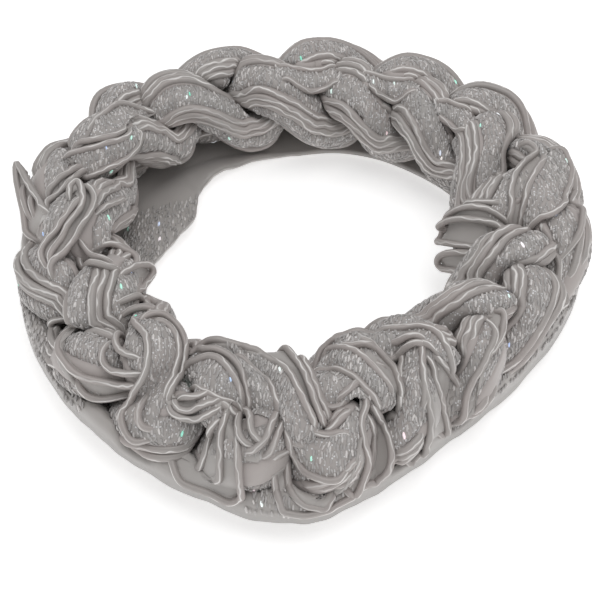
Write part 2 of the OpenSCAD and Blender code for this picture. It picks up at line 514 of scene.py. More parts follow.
def band_top(u, x, sizes):
    """Height of the band's upper face at x out from the centre line, puffed up to the plait."""
    inner, outer = along(u, IN_REACH), along(u, OUT_REACH)
    share = (x + inner) / (inner + outer)
    t = u * ROUND / LOBE_COUNT
    gather = np.sin(2 * np.pi * sizes.gathers * u / LOBE_COUNT + 2.2 * smooth_noise(t, 2.0, 31))
    gather *= 0.7 + 0.3 * smooth_noise(t, 1.5, 34)
    part, rise = band_edge(u, x)
    part = np.minimum(part, 1)
    puff = np.where(x > 0, PUFF_OUT, PUFF_IN) * rise * np.sqrt(np.sin(np.pi * part) + 1e-9)
    soft = 0.5 * smooth_noise(t + share, 3.0, 32) + 0.2 * smooth_noise(t - share, 1.1, 33)
    height = band_height(u, x) + BAND_T + puff + part * rise * (GATHER_DEPTH * gather + soft - 0.1)
    for _ in range(3):
        turn = np.degrees(np.arctan2(height - CENTRE_H, x))
        clear = plait_reach().read(u, turn) - PLAIT_PRESS
        over = np.hypot(x, height - CENTRE_H) < clear
        pressed = CENTRE_H - np.sqrt(np.maximum(clear ** 2 - x ** 2, 0.04))
        height = np.where(over, np.minimum(height, pressed), height)
    return np.maximum(height, BAND_LEAST)


def band_place(u, share, sizes):
    """The band's upper face at one share of the way across, from its inner edge to its outer one."""
    inner, outer = along(u, IN_REACH), along(u, OUT_REACH)
    x = -inner + (inner + outer) * share
    return place(u, x, band_top(u, x, sizes))


# Loose cords

# Where a strand's own cords have sunk into it, because loose ones lie across: the first and last
# place round the ring, and the first and last angle round the plait
SUNK = (
    (5.85, 6.42, -30, 62), (6.42, 6.80, 28, 72), (7.62, 8.10, -40, 74), (4.20, 5.05, 4, 60),
    (6.75, 7.50, -45, -4), (5.50, 6.10, 42, 82), (8.40, 9.10, -30, 70), (9.10, 9.80, 5, 64),
    (8.35, 9.00, 86, 122), (7.30, 7.80, 72, 108), (11.15, 11.80, 122, 162), (3.20, 3.80, 98, 138),
    (4.70, 5.50, 74, 132), (5.05, 5.60, 10, 72), (10.90, 12.10, -50, 14), (2.66, 3.56, 50, 120),
    (2.36, 2.86, 52, 106), (2.50, 3.00, 14, 58), (7.30, 8.14, 78, 152), (8.20, 8.95, 80, 140),
    (8.20, 8.75, 40, 88), (5.40, 6.40, 78, 152), (6.40, 7.20, 70, 156), (11.45, 12.40, 40, 120),
    (6.42, 6.92, -44, 26), (1.80, 2.44, 70, 146), (15.30, 15.56, 92, 134), (-0.56, -0.20, 92, 134),
    (14.25, 14.82, 92, 130), (13.25, 13.72, 98, 130),
)


def sunk(u, turn):
    """How far a cord has sunk at a place and angle, from 0 to 1, easing in at the edges."""
    total = np.zeros_like(u)
    for first, last, low, high in SUNK:
        middle = (low + high) / 2
        near = (turn - middle + 180) % 360 - 180
        share = np.clip((u - first) / SUNK_EASE + 0.5, 0, 1) * np.clip((last - u) / SUNK_EASE + 0.5, 0, 1)
        share = share * np.clip(((high - low) / 2 - np.abs(near)) / SUNK_EASE_TURN + 0.5, 0, 1)
        total = np.maximum(total, share)
    return total


# Cords that have slipped out of their strand and lie across the plait. Each row is a point of the
# cord's way: the place round the ring, the angle round the plait in degrees from outwards through up,
# and how many millimetres it lies off the skin there. An end with no such number is tucked in
LOOSE_CORDS = {
    "fan_1": ((6.2, 62), (6.1, 45, 0), (6.05, 25, 0), (6.05, 8, 0), (6.0, 354, 0), (5.85, 338)),
    "fan_2": ((6.2, 74), (6.2, 55, 0), (6.2, 38, 0), (6.25, 20, 0.2), (6.25, 3, 0), (6.1, 350)),
    "fan_3": ((6.3, 54), (6.4, 36, 0), (6.44, 20, 0.2), (6.47, 0, 0.6), (6.45, 350, 1.2), (6.38, 343, 2.6),
        (6.27, 339, 3.3), (6.13, 337.5, 3.3), (5.98, 338, 3.6), (5.84, 342, 3.4), (5.72, 352, 0.5),
        (5.66, 0)),
    "fan_4": ((6.3, 70), (6.35, 54, 0.3), (6.45, 42, 0.3), (6.65, 35)),
    "fan_5": ((6.3, 84), (6.45, 66, 0.3), (6.5, 52, 0.3), (6.6, 44, 0.2), (6.75, 38)),
    "vee_1": ((6.75, 80), (6.7, 62, 0), (6.65, 48, 0.3), (6.55, 37, 0.2), (6.4, 27)),
    "vee_2": ((6.82, 68), (6.76, 50, 0), (6.7, 36, 0.3), (6.6, 27)),
    "arc_1": ((5.58, 58), (5.7, 64, 0.3), (5.85, 69, 0.3), (6.05, 82)),
    "arc_2": ((5.55, 62), (5.66, 53, 0.2), (5.82, 53, 0.3), (6.0, 65, 0.2), (6.15, 80)),
    "arc_3": ((5.5, 54), (5.66, 44, 0.2), (5.85, 44, 0.3), (6.05, 56, 0.1), (6.15, 68)),
    "rim_1": ((6.86, 6), (6.88, 354, 0.8), (6.96, 344, 2.2), (7.1, 342, 2.4), (7.26, 345, 1.8),
        (7.38, 352)),
    "rim_2": ((6.72, 8), (6.76, 356, 0.8), (6.8, 345, 3.5), (6.84, 339, 5.2), (6.93, 336.5, 5),
        (7.07, 336, 4.2), (7.22, 336.5, 3.7), (7.4, 339.5, 3.4), (7.58, 346, 2.6), (7.7, 356, 1),
        (7.75, 10, 0.3), (7.72, 28, 0), (7.72, 46, 0), (7.84, 62, 0), (7.9, 82)),
    "drop_2": ((7.8, 58), (7.85, 42, 0), (7.9, 22, 0), (7.9, 6, 0.3), (7.86, 354, 1.2), (7.77, 346, 2.2),
        (7.66, 341.5, 2.6), (7.52, 339)),
    "drop_3": ((7.85, 72), (7.92, 54, 0), (8.0, 34, 0.1), (8.05, 12, 0.4), (7.98, 352, 2), (7.84, 341, 3.6),
        (7.67, 336.5, 4.4), (7.5, 335, 4), (7.35, 335)),
    "fall_1": ((8.62, 64), (8.58, 46, 0), (8.52, 26, 0), (8.45, 4, 0.2), (8.45, 342, 1), (8.3, 335, 1),
        (8.15, 346)),
    "fall_2": ((8.85, 84), (8.85, 62, 0), (8.8, 38, 0), (8.85, 0, 0.2), (8.85, 335, 1), (8.7, 328, 1),
        (8.55, 342)),
    "fall_3": ((8.9, 82), (8.95, 62, 0), (9.02, 48, 0), (9.1, 30, 0), (9.12, 12)),
    "bend_1": ((9.8, 78), (9.68, 58, 0.2), (9.42, 44, 0), (9.25, 30, 0), (9.1, 12, 0), (9.0, 352, 0.3),
        (8.95, 330)),
    "bend_2": ((9.9, 80), (9.95, 62, 0.3), (9.78, 50, 0.3), (9.5, 44, 0), (9.3, 34)),
    "bar_1": ((8.2, 124), (8.45, 122, 0.9), (8.62, 106, 0.9), (8.85, 93, 0.9), (9, 84)),
    "bar_2": ((8.35, 116), (8.6, 99, 0.8), (8.8, 88, 0.8), (9, 78)),
    "bar_3": ((7.88, 84), (7.72, 82, 1.7), (7.52, 79, 1.7), (7.36, 72)),
    "arch_1": ((7.2, 158), (7.36, 154, 0.5), (7.52, 149, 0.7), (7.7, 141, 0.8), (7.88, 136, 0.8),
        (8.06, 124, 0.8), (8.24, 112, 0.9), (8.36, 100, 0.9), (8.42, 88, 0.9), (8.38, 70, 0.8),
        (8.33, 56, 0.6), (8.28, 44)),
    "arch_2": ((7.3, 148), (7.46, 142, 0.5), (7.62, 131, 0.8), (7.75, 120, 0.8), (7.89, 107, 0.8),
        (8.01, 92, 0.8), (8.09, 80, 0.8), (8.16, 68, 0.6), (8.2, 56)),
    "arch_3": ((7.12, 134), (7.3, 133, 0.3), (7.5, 120, 0.4), (7.65, 102, 0.5), (7.79, 85, 0.5),
        (7.88, 71, 0.5), (7.96, 58, 0.3), (8, 46)),
    "arch_4": ((7.48, 156), (7.66, 148, 0.5), (7.86, 142, 1.2), (8.08, 136, 2), (8.32, 133, 2),
        (8.56, 128, 0.9), (8.8, 114, 0.7), (8.96, 106, 0.7), (9.06, 97, 0.8), (9.1, 86, 0.8),
        (9.08, 72, 0.8), (9.04, 60, 0.8), (9.03, 48, 0.6), (9.06, 34)),
    "arch_5": ((7.52, 142), (7.7, 132, 0), (7.9, 122, 0.2), (8.1, 114, 0.6), (8.3, 110, 0.6),
        (8.5, 104, 0.2), (8.7, 96, 0.2), (8.85, 86, 0.2), (8.95, 72, 0.2), (8.98, 56)),
    "sill": ((7.05, 112), (7.18, 100, -0.2), (7.26, 86, -0.2), (7.36, 74, -0.2), (7.52, 72, -0.2),
        (7.68, 78, -0.2), (7.8, 76)),
    "slip_1": ((8.66, 108), (8.62, 97, -0.1), (8.54, 87, -0.1), (8.44, 74, -0.1), (8.34, 58, -0.1),
        (8.28, 46, -0.3), (8.26, 34)),
    "slip_2": ((8.94, 100), (8.82, 82, 0), (8.75, 70, 0), (8.65, 58, 0), (8.58, 48, 0), (8.51, 38, -0.2),
        (8.45, 26)),
    "crest_1": ((5.36, 102), (5.48, 110, 0.5), (5.62, 109, 0.7), (5.76, 108, 0.8), (5.92, 106, 0.8),
        (6.06, 102, 0.8), (6.17, 97, 0.8), (6.25, 91, 0.7), (6.3, 84, 0.7), (6.34, 74)),
    "crest_2": ((5.28, 122), (5.44, 126, 0.5), (5.62, 119, 0.8), (5.88, 115, 0.8), (6.07, 113, 0.8),
        (6.21, 109, 0.8), (6.29, 103, 0.7), (6.35, 94, 0.7), (6.4, 83, 0.7), (6.42, 70)),
    "crest_3": ((5.27, 142), (5.46, 139, 0.4), (5.66, 134, 0.7), (5.88, 132, 0.8), (6.06, 133, 1.4),
        (6.2, 130, 2.7), (6.34, 130, 3.5), (6.48, 131, 2.2), (6.6, 129, 1), (6.72, 121, 0.8),
        (6.87, 107, 0.8), (6.97, 91, 0.8), (7.05, 77, 0.8), (7.13, 65, 0.7), (7.18, 52)),
    "crest_4": ((6.56, 158), (6.72, 148, 0.7), (6.89, 129, 0.8), (7.03, 113, 0.8), (7.11, 95, 0.9),
        (7.17, 78, 0.8), (7.24, 64, 0.7), (7.3, 50)),
    "crest_5": ((6.9, 156), (7, 137, 0.4), (7.1, 118, 0.8), (7.17, 100, 0.9), (7.24, 81, 0.9),
        (7.31, 68, 0.7), (7.36, 54)),
    "crease": ((5.95, 130), (6.08, 128, -0.3), (6.24, 126, 0.8), (6.4, 122, 1), (6.52, 116, 0),
        (6.63, 105, -0.3), (6.7, 91, -0.3), (6.74, 80, -0.3), (6.76, 66)),
    "hem": ((5.4, 108), (5.5, 101, -0.8), (5.62, 90, -0.8), (5.79, 79, -0.8), (5.95, 75, -0.8),
        (6.1, 75, -0.8), (6.22, 77, -0.8), (6.3, 76, -0.9), (6.36, 70)),
    "lap_1": ((6.82, 62), (6.87, 46, 0.3), (6.9, 30, 0.7), (6.96, 14, 0.9), (7.04, 9, 0.8), (7.14, 11, 0.8),
        (7.27, 12, 0.8), (7.4, 14, 0.6), (7.54, 17)),
    "lap_2": ((6.86, 74), (6.92, 64, -0.9), (7, 56, -0.9), (7.12, 50, -0.9), (7.28, 46, -0.9),
        (7.43, 46, -0.9), (7.54, 42, -0.9), (7.62, 30)),
    "inner_1": ((3.05, 118), (2.92, 128, 0.3), (2.7, 146, 0.3), (2.3, 184)),
    "inner_2": ((3.35, 116), (3.28, 142, 0.2), (3.36, 154, 0.3), (3.66, 150, 0.2), (3.9, 140)),
    "inner_3": ((3.2, 96), (3.4, 106, 0.2), (3.65, 113, 0.3), (3.75, 128)),
    "inner_4": ((3.3, 92), (3.65, 98, 0.3), (3.85, 112, 0.3), (3.85, 134)),
    "inner_5": ((4.2, 104), (4.25, 120, 0.3), (4.2, 142, 0.3), (4.0, 190)),
    "inner_6": ((4.3, 108), (4.36, 122, 0.3), (4.5, 134, 0.3), (4.8, 134)),
    "sweep_1": ((4.0, 26), (3.85, 4, 0.3), (3.85, 350, 0.6), (4.1, 10, 0.3), (4.35, 24)),
    "sweep_2": ((4.1, 34), (4.15, 24, 0.2), (4.4, 26, 0.3), (4.65, 27, 0.3), (4.9, 36, 0.2),
        (5.1, 48, -0.2), (5.25, 56)),
    "sweep_3": ((4.5, 24), (4.65, 11, 0.3), (4.8, 4, 0.4), (4.95, 14, 0.2), (5.1, 26)),
    "sweep_4": ((4.6, 76), (4.66, 58, 0.3), (4.78, 48, 0.3), (4.94, 54, 0.3), (5.1, 62, 0), (5.22, 70)),
    "sweep_5": ((4.5, 104), (4.6, 82, 0.3), (4.75, 72, 0.4), (4.95, 74, 0.2), (5.12, 80)),
    "tongue_1": ((4.7, 100), (4.7, 110, 0.6), (4.8, 123, 0.8), (4.96, 129, 0.8), (5.18, 127, 0.8),
        (5.34, 117, 0.8), (5.44, 95, 0.9), (5.53, 68, 0.9), (5.53, 48)),
    "tongue_2": ((4.56, 108), (4.64, 102, 0.6), (4.92, 94, 0.9), (5.12, 82, 1), (5.2, 62, 1), (5.14, 38, 1),
        (5.1, 20, 0.8), (5.22, 14, 0.6), (5.4, 13, 0.5), (5.55, 16)),
    "tongue_3": ((5.24, 50), (5.31, 37, 0.9), (5.42, 28, 0.7), (5.56, 22)),
    "tongue_4": ((4.82, 104), (4.86, 113, 0.6), (5, 119, 0.8), (5.18, 117, 0.8), (5.32, 106, 0.8),
        (5.4, 88, 0.9), (5.48, 66, 0.9), (5.5, 50)),
    "leaf_1": ((2.8, 106), (2.96, 100, 0.5), (3.13, 89, 0.6), (3.22, 78, 0.7), (3.27, 66, 0.8),
        (3.35, 57, 0.8), (3.48, 55, 0.5), (3.6, 54)),
    "leaf_2": ((2.92, 92), (2.86, 93, 0.3), (2.76, 94, 0.6), (2.71, 100, 0.7), (2.79, 105, 0.8),
        (2.92, 106, 0.8), (3.06, 101, 0.8), (3.2, 91, 0.8), (3.29, 81, 0.9), (3.37, 71, 0.9),
        (3.5, 64, 0.6), (3.62, 58)),
    "leaf_3": ((2.66, 104), (2.76, 109, 0.6), (2.83, 115, 0.8), (2.95, 116, 0.9), (3.08, 112, 0.9),
        (3.2, 105, 0.9), (3.3, 95, 0.9), (3.38, 83, 0.9), (3.5, 74, 0.8), (3.6, 61, 0.6), (3.7, 50)),
    "up_1": ((2.34, 98), (2.46, 90, 0.4), (2.58, 82, 0.5), (2.67, 72, 0.5), (2.74, 60, 0.4), (2.8, 50)),
    "up_2": ((2.36, 106), (2.45, 98, 0.4), (2.58, 90, 0.5), (2.7, 80, 0.5), (2.77, 70, 0.5),
        (2.84, 60, 0.3), (2.95, 60)),
    "corner_1": ((3.05, 70), (2.92, 60, 0.5), (2.78, 47, 0.6), (2.69, 40, 0.9), (2.58, 32, 1.6),
        (2.5, 26, 3), (2.48, 24, 3.8), (2.56, 21, 2.8), (2.65, 20, 1.9), (2.76, 18, 1.6), (2.87, 17, 2),
        (2.97, 16, 1.5), (3.06, 18)),
    "corner_2": ((2.58, 26, 0.4), (2.66, 26, 1.3), (2.76, 25, 1.2), (2.86, 24, 1.3), (2.95, 24, 0.9),
        (3.06, 28)),
    "corner_3": ((2.68, 36, -0.6), (2.75, 33, 0.7), (2.82, 30, 0.8), (2.9, 29, 0.7), (3, 34)),
    "tip_1": ((11.3, 114), (11.42, 132, 0.8), (11.55, 152, 2), (11.66, 168, 3.4), (11.7, 174, 3.8),
        (11.72, 178, 1)),
    "tip_4": ((12.3, 184), (12.0, 158, 0.4), (11.76, 138, 0.3), (11.7, 112)),
    "edge_1": ((12.25, 6), (12.0, 18, 0.3), (11.6, 38, 0.3), (11.35, 40, 0.3), (11.1, 30)),
    "edge_2": ((11.2, 42), (11.05, 28, 0.3), (10.9, 14, 0.3), (10.65, 12, 0.3), (10.4, 20)),
    "point_1": ((11.45, 112), (11.6, 132, 0.6), (11.76, 158, 2.6), (11.86, 176, 4.6), (11.8, 182, 4.8),
        (11.58, 182, 3.6), (11.3, 170, 1.4), (11.1, 150)),
    "point_2": ((11.0, 148), (11.15, 170, 1.6), (11.28, 186, 3.8), (11.28, 193, 4.2), (11.16, 194, 3.6),
        (10.95, 186, 1.6), (10.75, 168)),
    "point_3": ((3.95, 116), (3.86, 134, 0.4), (3.74, 152, 1.2), (3.64, 165, 1.9), (3.7, 171, 2),
        (3.84, 167, 1.2), (4.03, 152, 0.4), (4.15, 134)),
    "curl_1": ((11.45, 126), (11.53, 118, 0.4), (11.6, 114, 0.7), (11.7, 111, 0.8), (11.9, 108, 0.8),
        (12.11, 101, 0.8), (12.3, 88, 1.2), (12.38, 77, 0.9), (12.42, 71, 0.8), (12.5, 74, 0.8),
        (12.56, 79, 0.5), (12.64, 86)),
    "curl_2": ((11.48, 112), (11.57, 106, 0.7), (11.68, 100, 0.8), (11.8, 95, 0.8), (11.98, 88, 0.8),
        (12.15, 78, 1.2), (12.31, 66, 0.8), (12.4, 56)),
    "curl_3": ((11.42, 92), (11.46, 80, 0.6), (11.48, 70, 0.8), (11.56, 62, 0.8), (11.76, 50, 0.8),
        (11.87, 45, 1.8), (11.97, 41, 2.8), (12.07, 37, 2.6), (12.2, 33, 1), (12.3, 39, 0.8),
        (12.41, 47, 0.8), (12.5, 56)),
    "wing_1": ((2.42, 84), (2.46, 98, 0.7), (2.44, 113, 0.8), (2.35, 126, 0.8), (2.24, 136, 0.8),
        (2.11, 142, 0.8), (1.97, 142, 0.8), (1.84, 136, 0.7), (1.76, 126)),
    "wing_2": ((2.42, 62), (2.37, 76, 0.7), (2.31, 91, 0.7), (2.25, 106, 0.7), (2.16, 117, 0.8),
        (2.06, 125, 0.8), (1.94, 127, 0.7), (1.84, 122)),
    "wing_3": ((2.34, 68), (2.28, 81, 0.7), (2.24, 95, 0.8), (2.17, 107, 0.8), (2.08, 115, 0.8),
        (1.96, 119, 0.7), (1.88, 114)),
    "wing_4": ((2.3, 88), (2.2, 91, 0.5), (2.04, 90, 0.8), (1.9, 92, 0.8), (1.68, 88, 1), (1.53, 95, 0.8),
        (1.4, 110, 0.7), (1.32, 122)),
    "patch_1": ((15.95, 96), (15.84, 98, 0), (15.72, 100, 0), (15.58, 101, 0), (15.44, 99, 0),
        (15.33, 93, 0), (15.24, 88)),
    "patch_2": ((15.92, 124), (15.82, 121, 0), (15.7, 129, 0.4), (15.54, 134, 0.8), (15.38, 131, 0.4),
        (15.26, 122, 0), (15.16, 116)),
    "patch_3": ((14.96, 106), (14.86, 108, 0), (14.74, 106, 0), (14.58, 104, 0), (14.44, 97, 0),
        (14.35, 88, 0), (14.28, 80)),
    "patch_4": ((14.84, 116), (14.73, 122, 0), (14.58, 127, 0.6), (14.42, 131, 0.6), (14.28, 123, 0),
        (14.2, 114, 0), (14.12, 106)),
    "patch_5": ((13.88, 112), (13.76, 110, 0), (13.7, 104, 0), (13.58, 101, 0), (13.47, 97, 0),
        (13.38, 92)),
    "patch_6": ((13.7, 124), (13.6, 128, 0), (13.46, 130, 0.6), (13.3, 131, 0.4), (13.19, 125, 0),
        (13.1, 118)),
}


def spread_rows(rows, step):
    """Places along a smooth curve through a cord's rows, about a step of millimetres apart."""
    rows = np.array([(*row, TUCKED)[:3] for row in rows], float)
    rows[:, 1] = np.degrees(np.unwrap(np.radians(rows[:, 1])))
    ends = np.concatenate([2 * rows[:1] - rows[1:2], rows, 2 * rows[-1:] - rows[-2:-1]])
    places = []
    for a, b, c, d in zip(ends, ends[1:], ends[2:], ends[3:]):
        apart = math.hypot((c[0] - b[0]) * LOBE_RUN, math.radians(c[1] - b[1]) * TURN_RUN)
        count = max(2, round(apart / step))
        places.append(bend(a, b, c, d, (np.arange(count) / count)[:, None]))
    return np.concatenate([*places, rows[-1:]])


def ease_over(values, width):
    """Lets a slack cord bridge the hollows under it: the larger of its values and their mean."""
    kernel = np.exp(-0.5 * (np.arange(-3 * width, 3 * width + 1) / width) ** 2)
    kernel /= kernel.sum()
    for _ in range(3):
        padded = np.pad(values, 3 * width, mode="edge")
        values = np.maximum(values, np.convolve(padded, kernel, mode="valid"))
    padded = np.pad(values, 2, mode="edge")
    return np.convolve(padded, np.ones(5) / 5, mode="valid")


def loose_way(rows, sizes, seed):
    """A loose cord's way over the plait and the band: place round the ring, out and up."""
    half = LOOSE_WIDTH * sizes.cord_width / MM / 2
    u, turn, off = spread_rows(rows, POINT_STEP).T
    kink = np.random.default_rng(seed).uniform(-1, 1, (2, len(u) // KINK_POINTS + 4))
    at = np.arange(len(u)) / KINK_POINTS
    turn = turn + KINK_TURN * np.interp(at, np.arange(kink.shape[1]), kink[0])
    radius = ease_over(plait_reach().read(u, turn), 3) + half + off - LOOSE_DEPTH
    x = radius * np.cos(np.radians(turn))
    z = CENTRE_H + radius * np.sin(np.radians(turn))
    over_rim = (off > 1) & (x > 0) & (z < CENTRE_H - RIM_BELOW)
    x = np.where(over_rim, np.minimum(x, along(u, OUT_REACH) - RIM_INSET), x)
    on_band = (x < along(u, OUT_REACH)) & (x > -along(u, IN_REACH))
    least = np.where(on_band & (off > -1), band_top(u, x, sizes) + 0.4 * half, half)
    return np.stack([u, x, np.maximum(z, least)], -1)


def loose_ways(sizes):
    """The ways of all the loose cords, by name."""
    return {
        name: loose_way(rows, sizes, 500 + number)
        for number, (name, rows) in enumerate(LOOSE_CORDS.items())
    }


def web_face(first, second, steps, across, sag=WEB_SLACK):
    """The cloth between two ways as points (place along, place across) in metres, facing up."""
    sides = []
    for way in (first, second):
        run = run_along(place(*way.T))
        even = np.linspace(0, run[-1], steps)
        sides.append(np.stack([np.interp(even, run, way[:, k]) for k in range(3)], -1))
    share = np.linspace(0, 1, across)[None, :, None]
    u, x, z = np.moveaxis(sides[0][:, None] * (1 - share) + sides[1][:, None] * share, 2, 0)
    turn = np.arctan2(z - CENTRE_H, x)
    slack = WEB_DEPTH + sag * 4 * (share * (1 - share))[..., 0]
    least = plait_reach().read(u, np.degrees(turn)) - WEB_SINK
    radius = np.maximum(np.hypot(x, z - CENTRE_H) - slack, least)
    face = place(u, radius * np.cos(turn), np.maximum(CENTRE_H + radius * np.sin(turn), WEB_LEAST))
    _, _, out = surface_frames(face)
    return face if out[..., 2].mean() > 0 else face[:, ::-1]


# Meshes

def collect(name, points, faces, look, closed=True):
    """A mesh object of points in metres and faces. A closed one is smooth and faces outwards."""
    mesh = bpy.data.meshes.new(name)
    mesh.from_pydata([tuple(p) for p in points], [], [tuple(f) for f in faces])
    mesh.polygons.foreach_set("use_smooth", [closed] * len(mesh.polygons))
    flatten_caps(mesh)
    mesh.materials.append(look)
    mesh.validate()
    if closed:
        work = bmesh.new()
        work.from_mesh(mesh)
        bmesh.ops.recalc_face_normals(work, faces=work.faces)
        work.to_mesh(mesh)
        work.free()
    return link_object(name, mesh)


def link_object(name, data):
    """A new object in the scene."""
    made = bpy.data.objects.new(name, data)
    bpy.context.scene.collection.objects.link(made)
    return made


def flatten_caps(mesh):
    """Shades the end faces of tubes flat, so that they don't darken the sides next to them."""
    for face in mesh.polygons:
        if len(face.vertices) > 4:
            face.use_smooth = False


def tube_faces(rings, sides, start, closed):
    """Quads between rings of a tube whose first point is start, capped if it isn't closed."""
    faces = []
    for i in range(rings if closed else rings - 1):
        a, b = start + i * sides, start + (i + 1) % rings * sides
        for j in range(sides):
            k = (j + 1) % sides
            faces.append((a + j, a + k, b + k, b + j))
    if not closed:
        last = start + (rings - 1) * sides
        faces.append(tuple(start + j for j in reversed(range(sides))))
        faces.append(tuple(last + j for j in range(sides)))
    return faces


def settle(piece, slot, *nodes):
    """A finished piece rides on the ring's one body, and the solids that it stands for are hidden; its slot
    is not used.
    """
    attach(piece, BODY)
    if nodes:
        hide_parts(*nodes)
    return piece


def cloth_piece(name, surfaces, thickness, finish, slot, *nodes):
    """A finished piece of one or more cloths, each a thickness of millimetres deep under its face."""
    points, faces = [], []
    for face in surfaces:
        _, _, out = surface_frames(face)
        rings = np.concatenate([face, (face - out * thickness * MM)[:, ::-1]], 1)
        faces.extend(tube_faces(len(rings), rings.shape[1], len(points), False))
        points.extend(rings.reshape(-1, 3))
    settle(collect(name, points, faces, material(finish)), slot, *nodes)


def grow(name, mesh, tree, **inputs):
    """Runs a geometry tree on a mesh and keeps what it grows as a plain mesh object."""
    seed = link_object(name + "_seed", mesh)
    modifier = seed.modifiers.new("Grow", "NODES")
    modifier.node_group = tree
    for item in tree.interface.items_tree:
        if item.item_type == "SOCKET" and item.in_out == "INPUT" and item.name.replace(" ", "_") in inputs:
            modifier[item.identifier] = inputs[item.name.replace(" ", "_")]
    bpy.context.view_layer.update()
    depsgraph = bpy.context.evaluated_depsgraph_get()
    made = bpy.data.meshes.new_from_object(
        seed.evaluated_get(depsgraph), preserve_all_data_layers=True, depsgraph=depsgraph
    )
    made.name = name
    flatten_caps(made)
    bpy.data.objects.remove(seed)
    bpy.data.meshes.remove(mesh)
    return link_object(name, made)


def store(mesh, label, values):
    """Stores a number or a direction for each point of a mesh."""
    values = np.asarray(values, np.float32)
    if values.ndim == 2:
        mesh.attributes.new(label, "FLOAT_VECTOR", "POINT").data.foreach_set("vector", values.ravel())
    else:
        mesh.attributes.new(label, "FLOAT", "POINT").data.foreach_set("value", values)


def cord_piece(name, lines, radius, *nodes):
    """A finished piece of satin cords, one for each line of points and directions off the strand."""
    mesh = bpy.data.meshes.new(name + "_runs")
    points, edges = [], []
    for line, _ in lines:
        start = len(points)
        points.extend(tuple(p) for p in line)
        edges.extend((start + i, start + i + 1) for i in range(len(line) - 1))
    mesh.from_pydata(points, edges, [])
    store(mesh, "outward", np.concatenate([way for _, way in lines]))
    piece = grow(name, mesh, sweep_tree(), Cord_radius=radius, Sides=12, Material=material("satin"))
    settle(piece, "satin_cord", *nodes)


def stitch_piece(name, laid, rng, seed, length, width, *nodes):
    """A finished piece of thread loops, each with its place, lie, facing, and two random looks: a glint, by
    which a few glow as painted glints, and a shade.
    """
    at, lie, up = (np.concatenate(part) for part in zip(*laid))
    mesh = bpy.data.meshes.new(name + "_points")
    mesh.from_pydata([tuple(p) for p in at], [], [])
    looks = {"lie": lie, "up": up, "glint": rng.random(len(at)), "shade": rng.random(len(at))}
    for label, values in looks.items():
        store(mesh, label, values)
    piece = grow(
        name, mesh, stitch_tree(),
        Loop_length=length, Loop_width=width, Seed=seed, Material=material("glitter"),
    )
    settle(piece, "glitter_tape", *nodes)


def knit(face, bare, sizes, rng):
    """The loops of one tape, as rows of places, lies and facings, where it is bare."""
    forward, aside, out = surface_frames(face)
    run = run_along(face[:, face.shape[1] // 2])
    rows = np.arange(sizes.stitch_pitch / 2, run[-1], sizes.stitch_pitch)
    section = np.interp(rows, run, np.arange(len(run)))
    section = section[np.interp(section, np.arange(len(run)), bare) > STITCHED_FROM]
    low = np.floor(section).astype(int)
    high = np.minimum(low + 1, len(face) - 1)
    f = (section - low)[:, None]
    for column in TAPE_COLUMNS:
        across = (column + 0.5) * (face.shape[1] - 1)
        j = int(across)
        g = across - j

        def read(table):
            a = table[low, j] * (1 - g) + table[low, j + 1] * g
            b = table[high, j] * (1 - g) + table[high, j + 1] * g
            return a * (1 - f) + b * f

        at, ahead, beside, facing = (read(v) for v in (face, forward, aside, out))
        astray = rng.normal(0, 1, (4, len(at), 1))
        slip = (ahead * astray[0] * SLIP_ALONG + beside * astray[1] * SLIP_ACROSS) * sizes.stitch_pitch
        lie = FORE_AND_AFT + LIE_STRAY * ahead * astray[2] + LIE_STRAY * beside * astray[3]
        yield at + slip + facing * sizes.tape_width * LOOP_RISE, lie, facing


# Node trees

def feed(tree, socket, source):
    """Gives an input a value, or links it to an output or to a node's first output."""
    if isinstance(source, bpy.types.Node):
        source = source.outputs[0]
    if isinstance(source, bpy.types.NodeSocket):
        tree.links.new(source, socket)
    else:
        socket.default_value = source


def set_up(tree, made, *inputs, **values):
    """Sets a node's properties, then its inputs in order or by name, with _ for a space."""
    for key in [key for key in values if hasattr(made, key)]:
        setattr(made, key, values.pop(key))
    for socket, source in zip(made.inputs, inputs):
        feed(tree, socket, source)
    for key, source in values.items():
        feed(tree, made.inputs[key.replace("_", " ")], source)
    return made


def node(tree, kind, *inputs, **values):
    """A new node with its properties and inputs set."""
    return set_up(tree, tree.nodes.new(kind), *inputs, **values)


def reckon(tree, operation, *inputs):
    """A node that works out one number."""
    return node(tree, "ShaderNodeMath", *inputs, operation=operation)


def noise(tree, where, scale, detail=1.0):
    """A node of soft noise over the surface."""
    return node(tree, "ShaderNodeTexNoise", where, Scale=scale, Detail=detail)


def start_tree(name, kind, takes, gives):
    """A node group with named sockets: takes is (name, socket kind, default), gives is (name, kind)."""
    tree = bpy.data.node_groups.new(name, kind)
    for label, socket, value in takes:
        made = tree.interface.new_socket(name=label, in_out="INPUT", socket_type="NodeSocket" + socket)
        if value is not None:
            made.default_value = value
    label, socket = gives
    tree.interface.new_socket(name=label, in_out="OUTPUT", socket_type="NodeSocket" + socket)
    return tree, tree.nodes.new("NodeGroupInput").outputs, tree.nodes.new("NodeGroupOutput")


def stored(tree, name):
    """A direction that the points carry, in a geometry tree."""
    return node(tree, "GeometryNodeInputNamedAttribute", data_type="FLOAT_VECTOR", Name=name)


def keep(tree, geometry, name, value, kind="FLOAT"):
    """Stores a value on the points, in a geometry tree."""
    return node(
        tree, "GeometryNodeStoreNamedAttribute", data_type=kind, domain="POINT",
        Geometry=geometry, Name=name, Value=value,
    )


def end_tree(tree, take, give, grown, smooth):
    """Makes what a geometry tree has grown real, shades it, gives it its material and puts it out."""
    real = node(tree, "GeometryNodeRealizeInstances", grown)
    shaded = node(tree, "GeometryNodeSetShadeSmooth", real, Shade_Smooth=smooth)
    set_up(tree, give, node(tree, "GeometryNodeSetMaterial", shaded, Material=take["Material"]))
    return tree


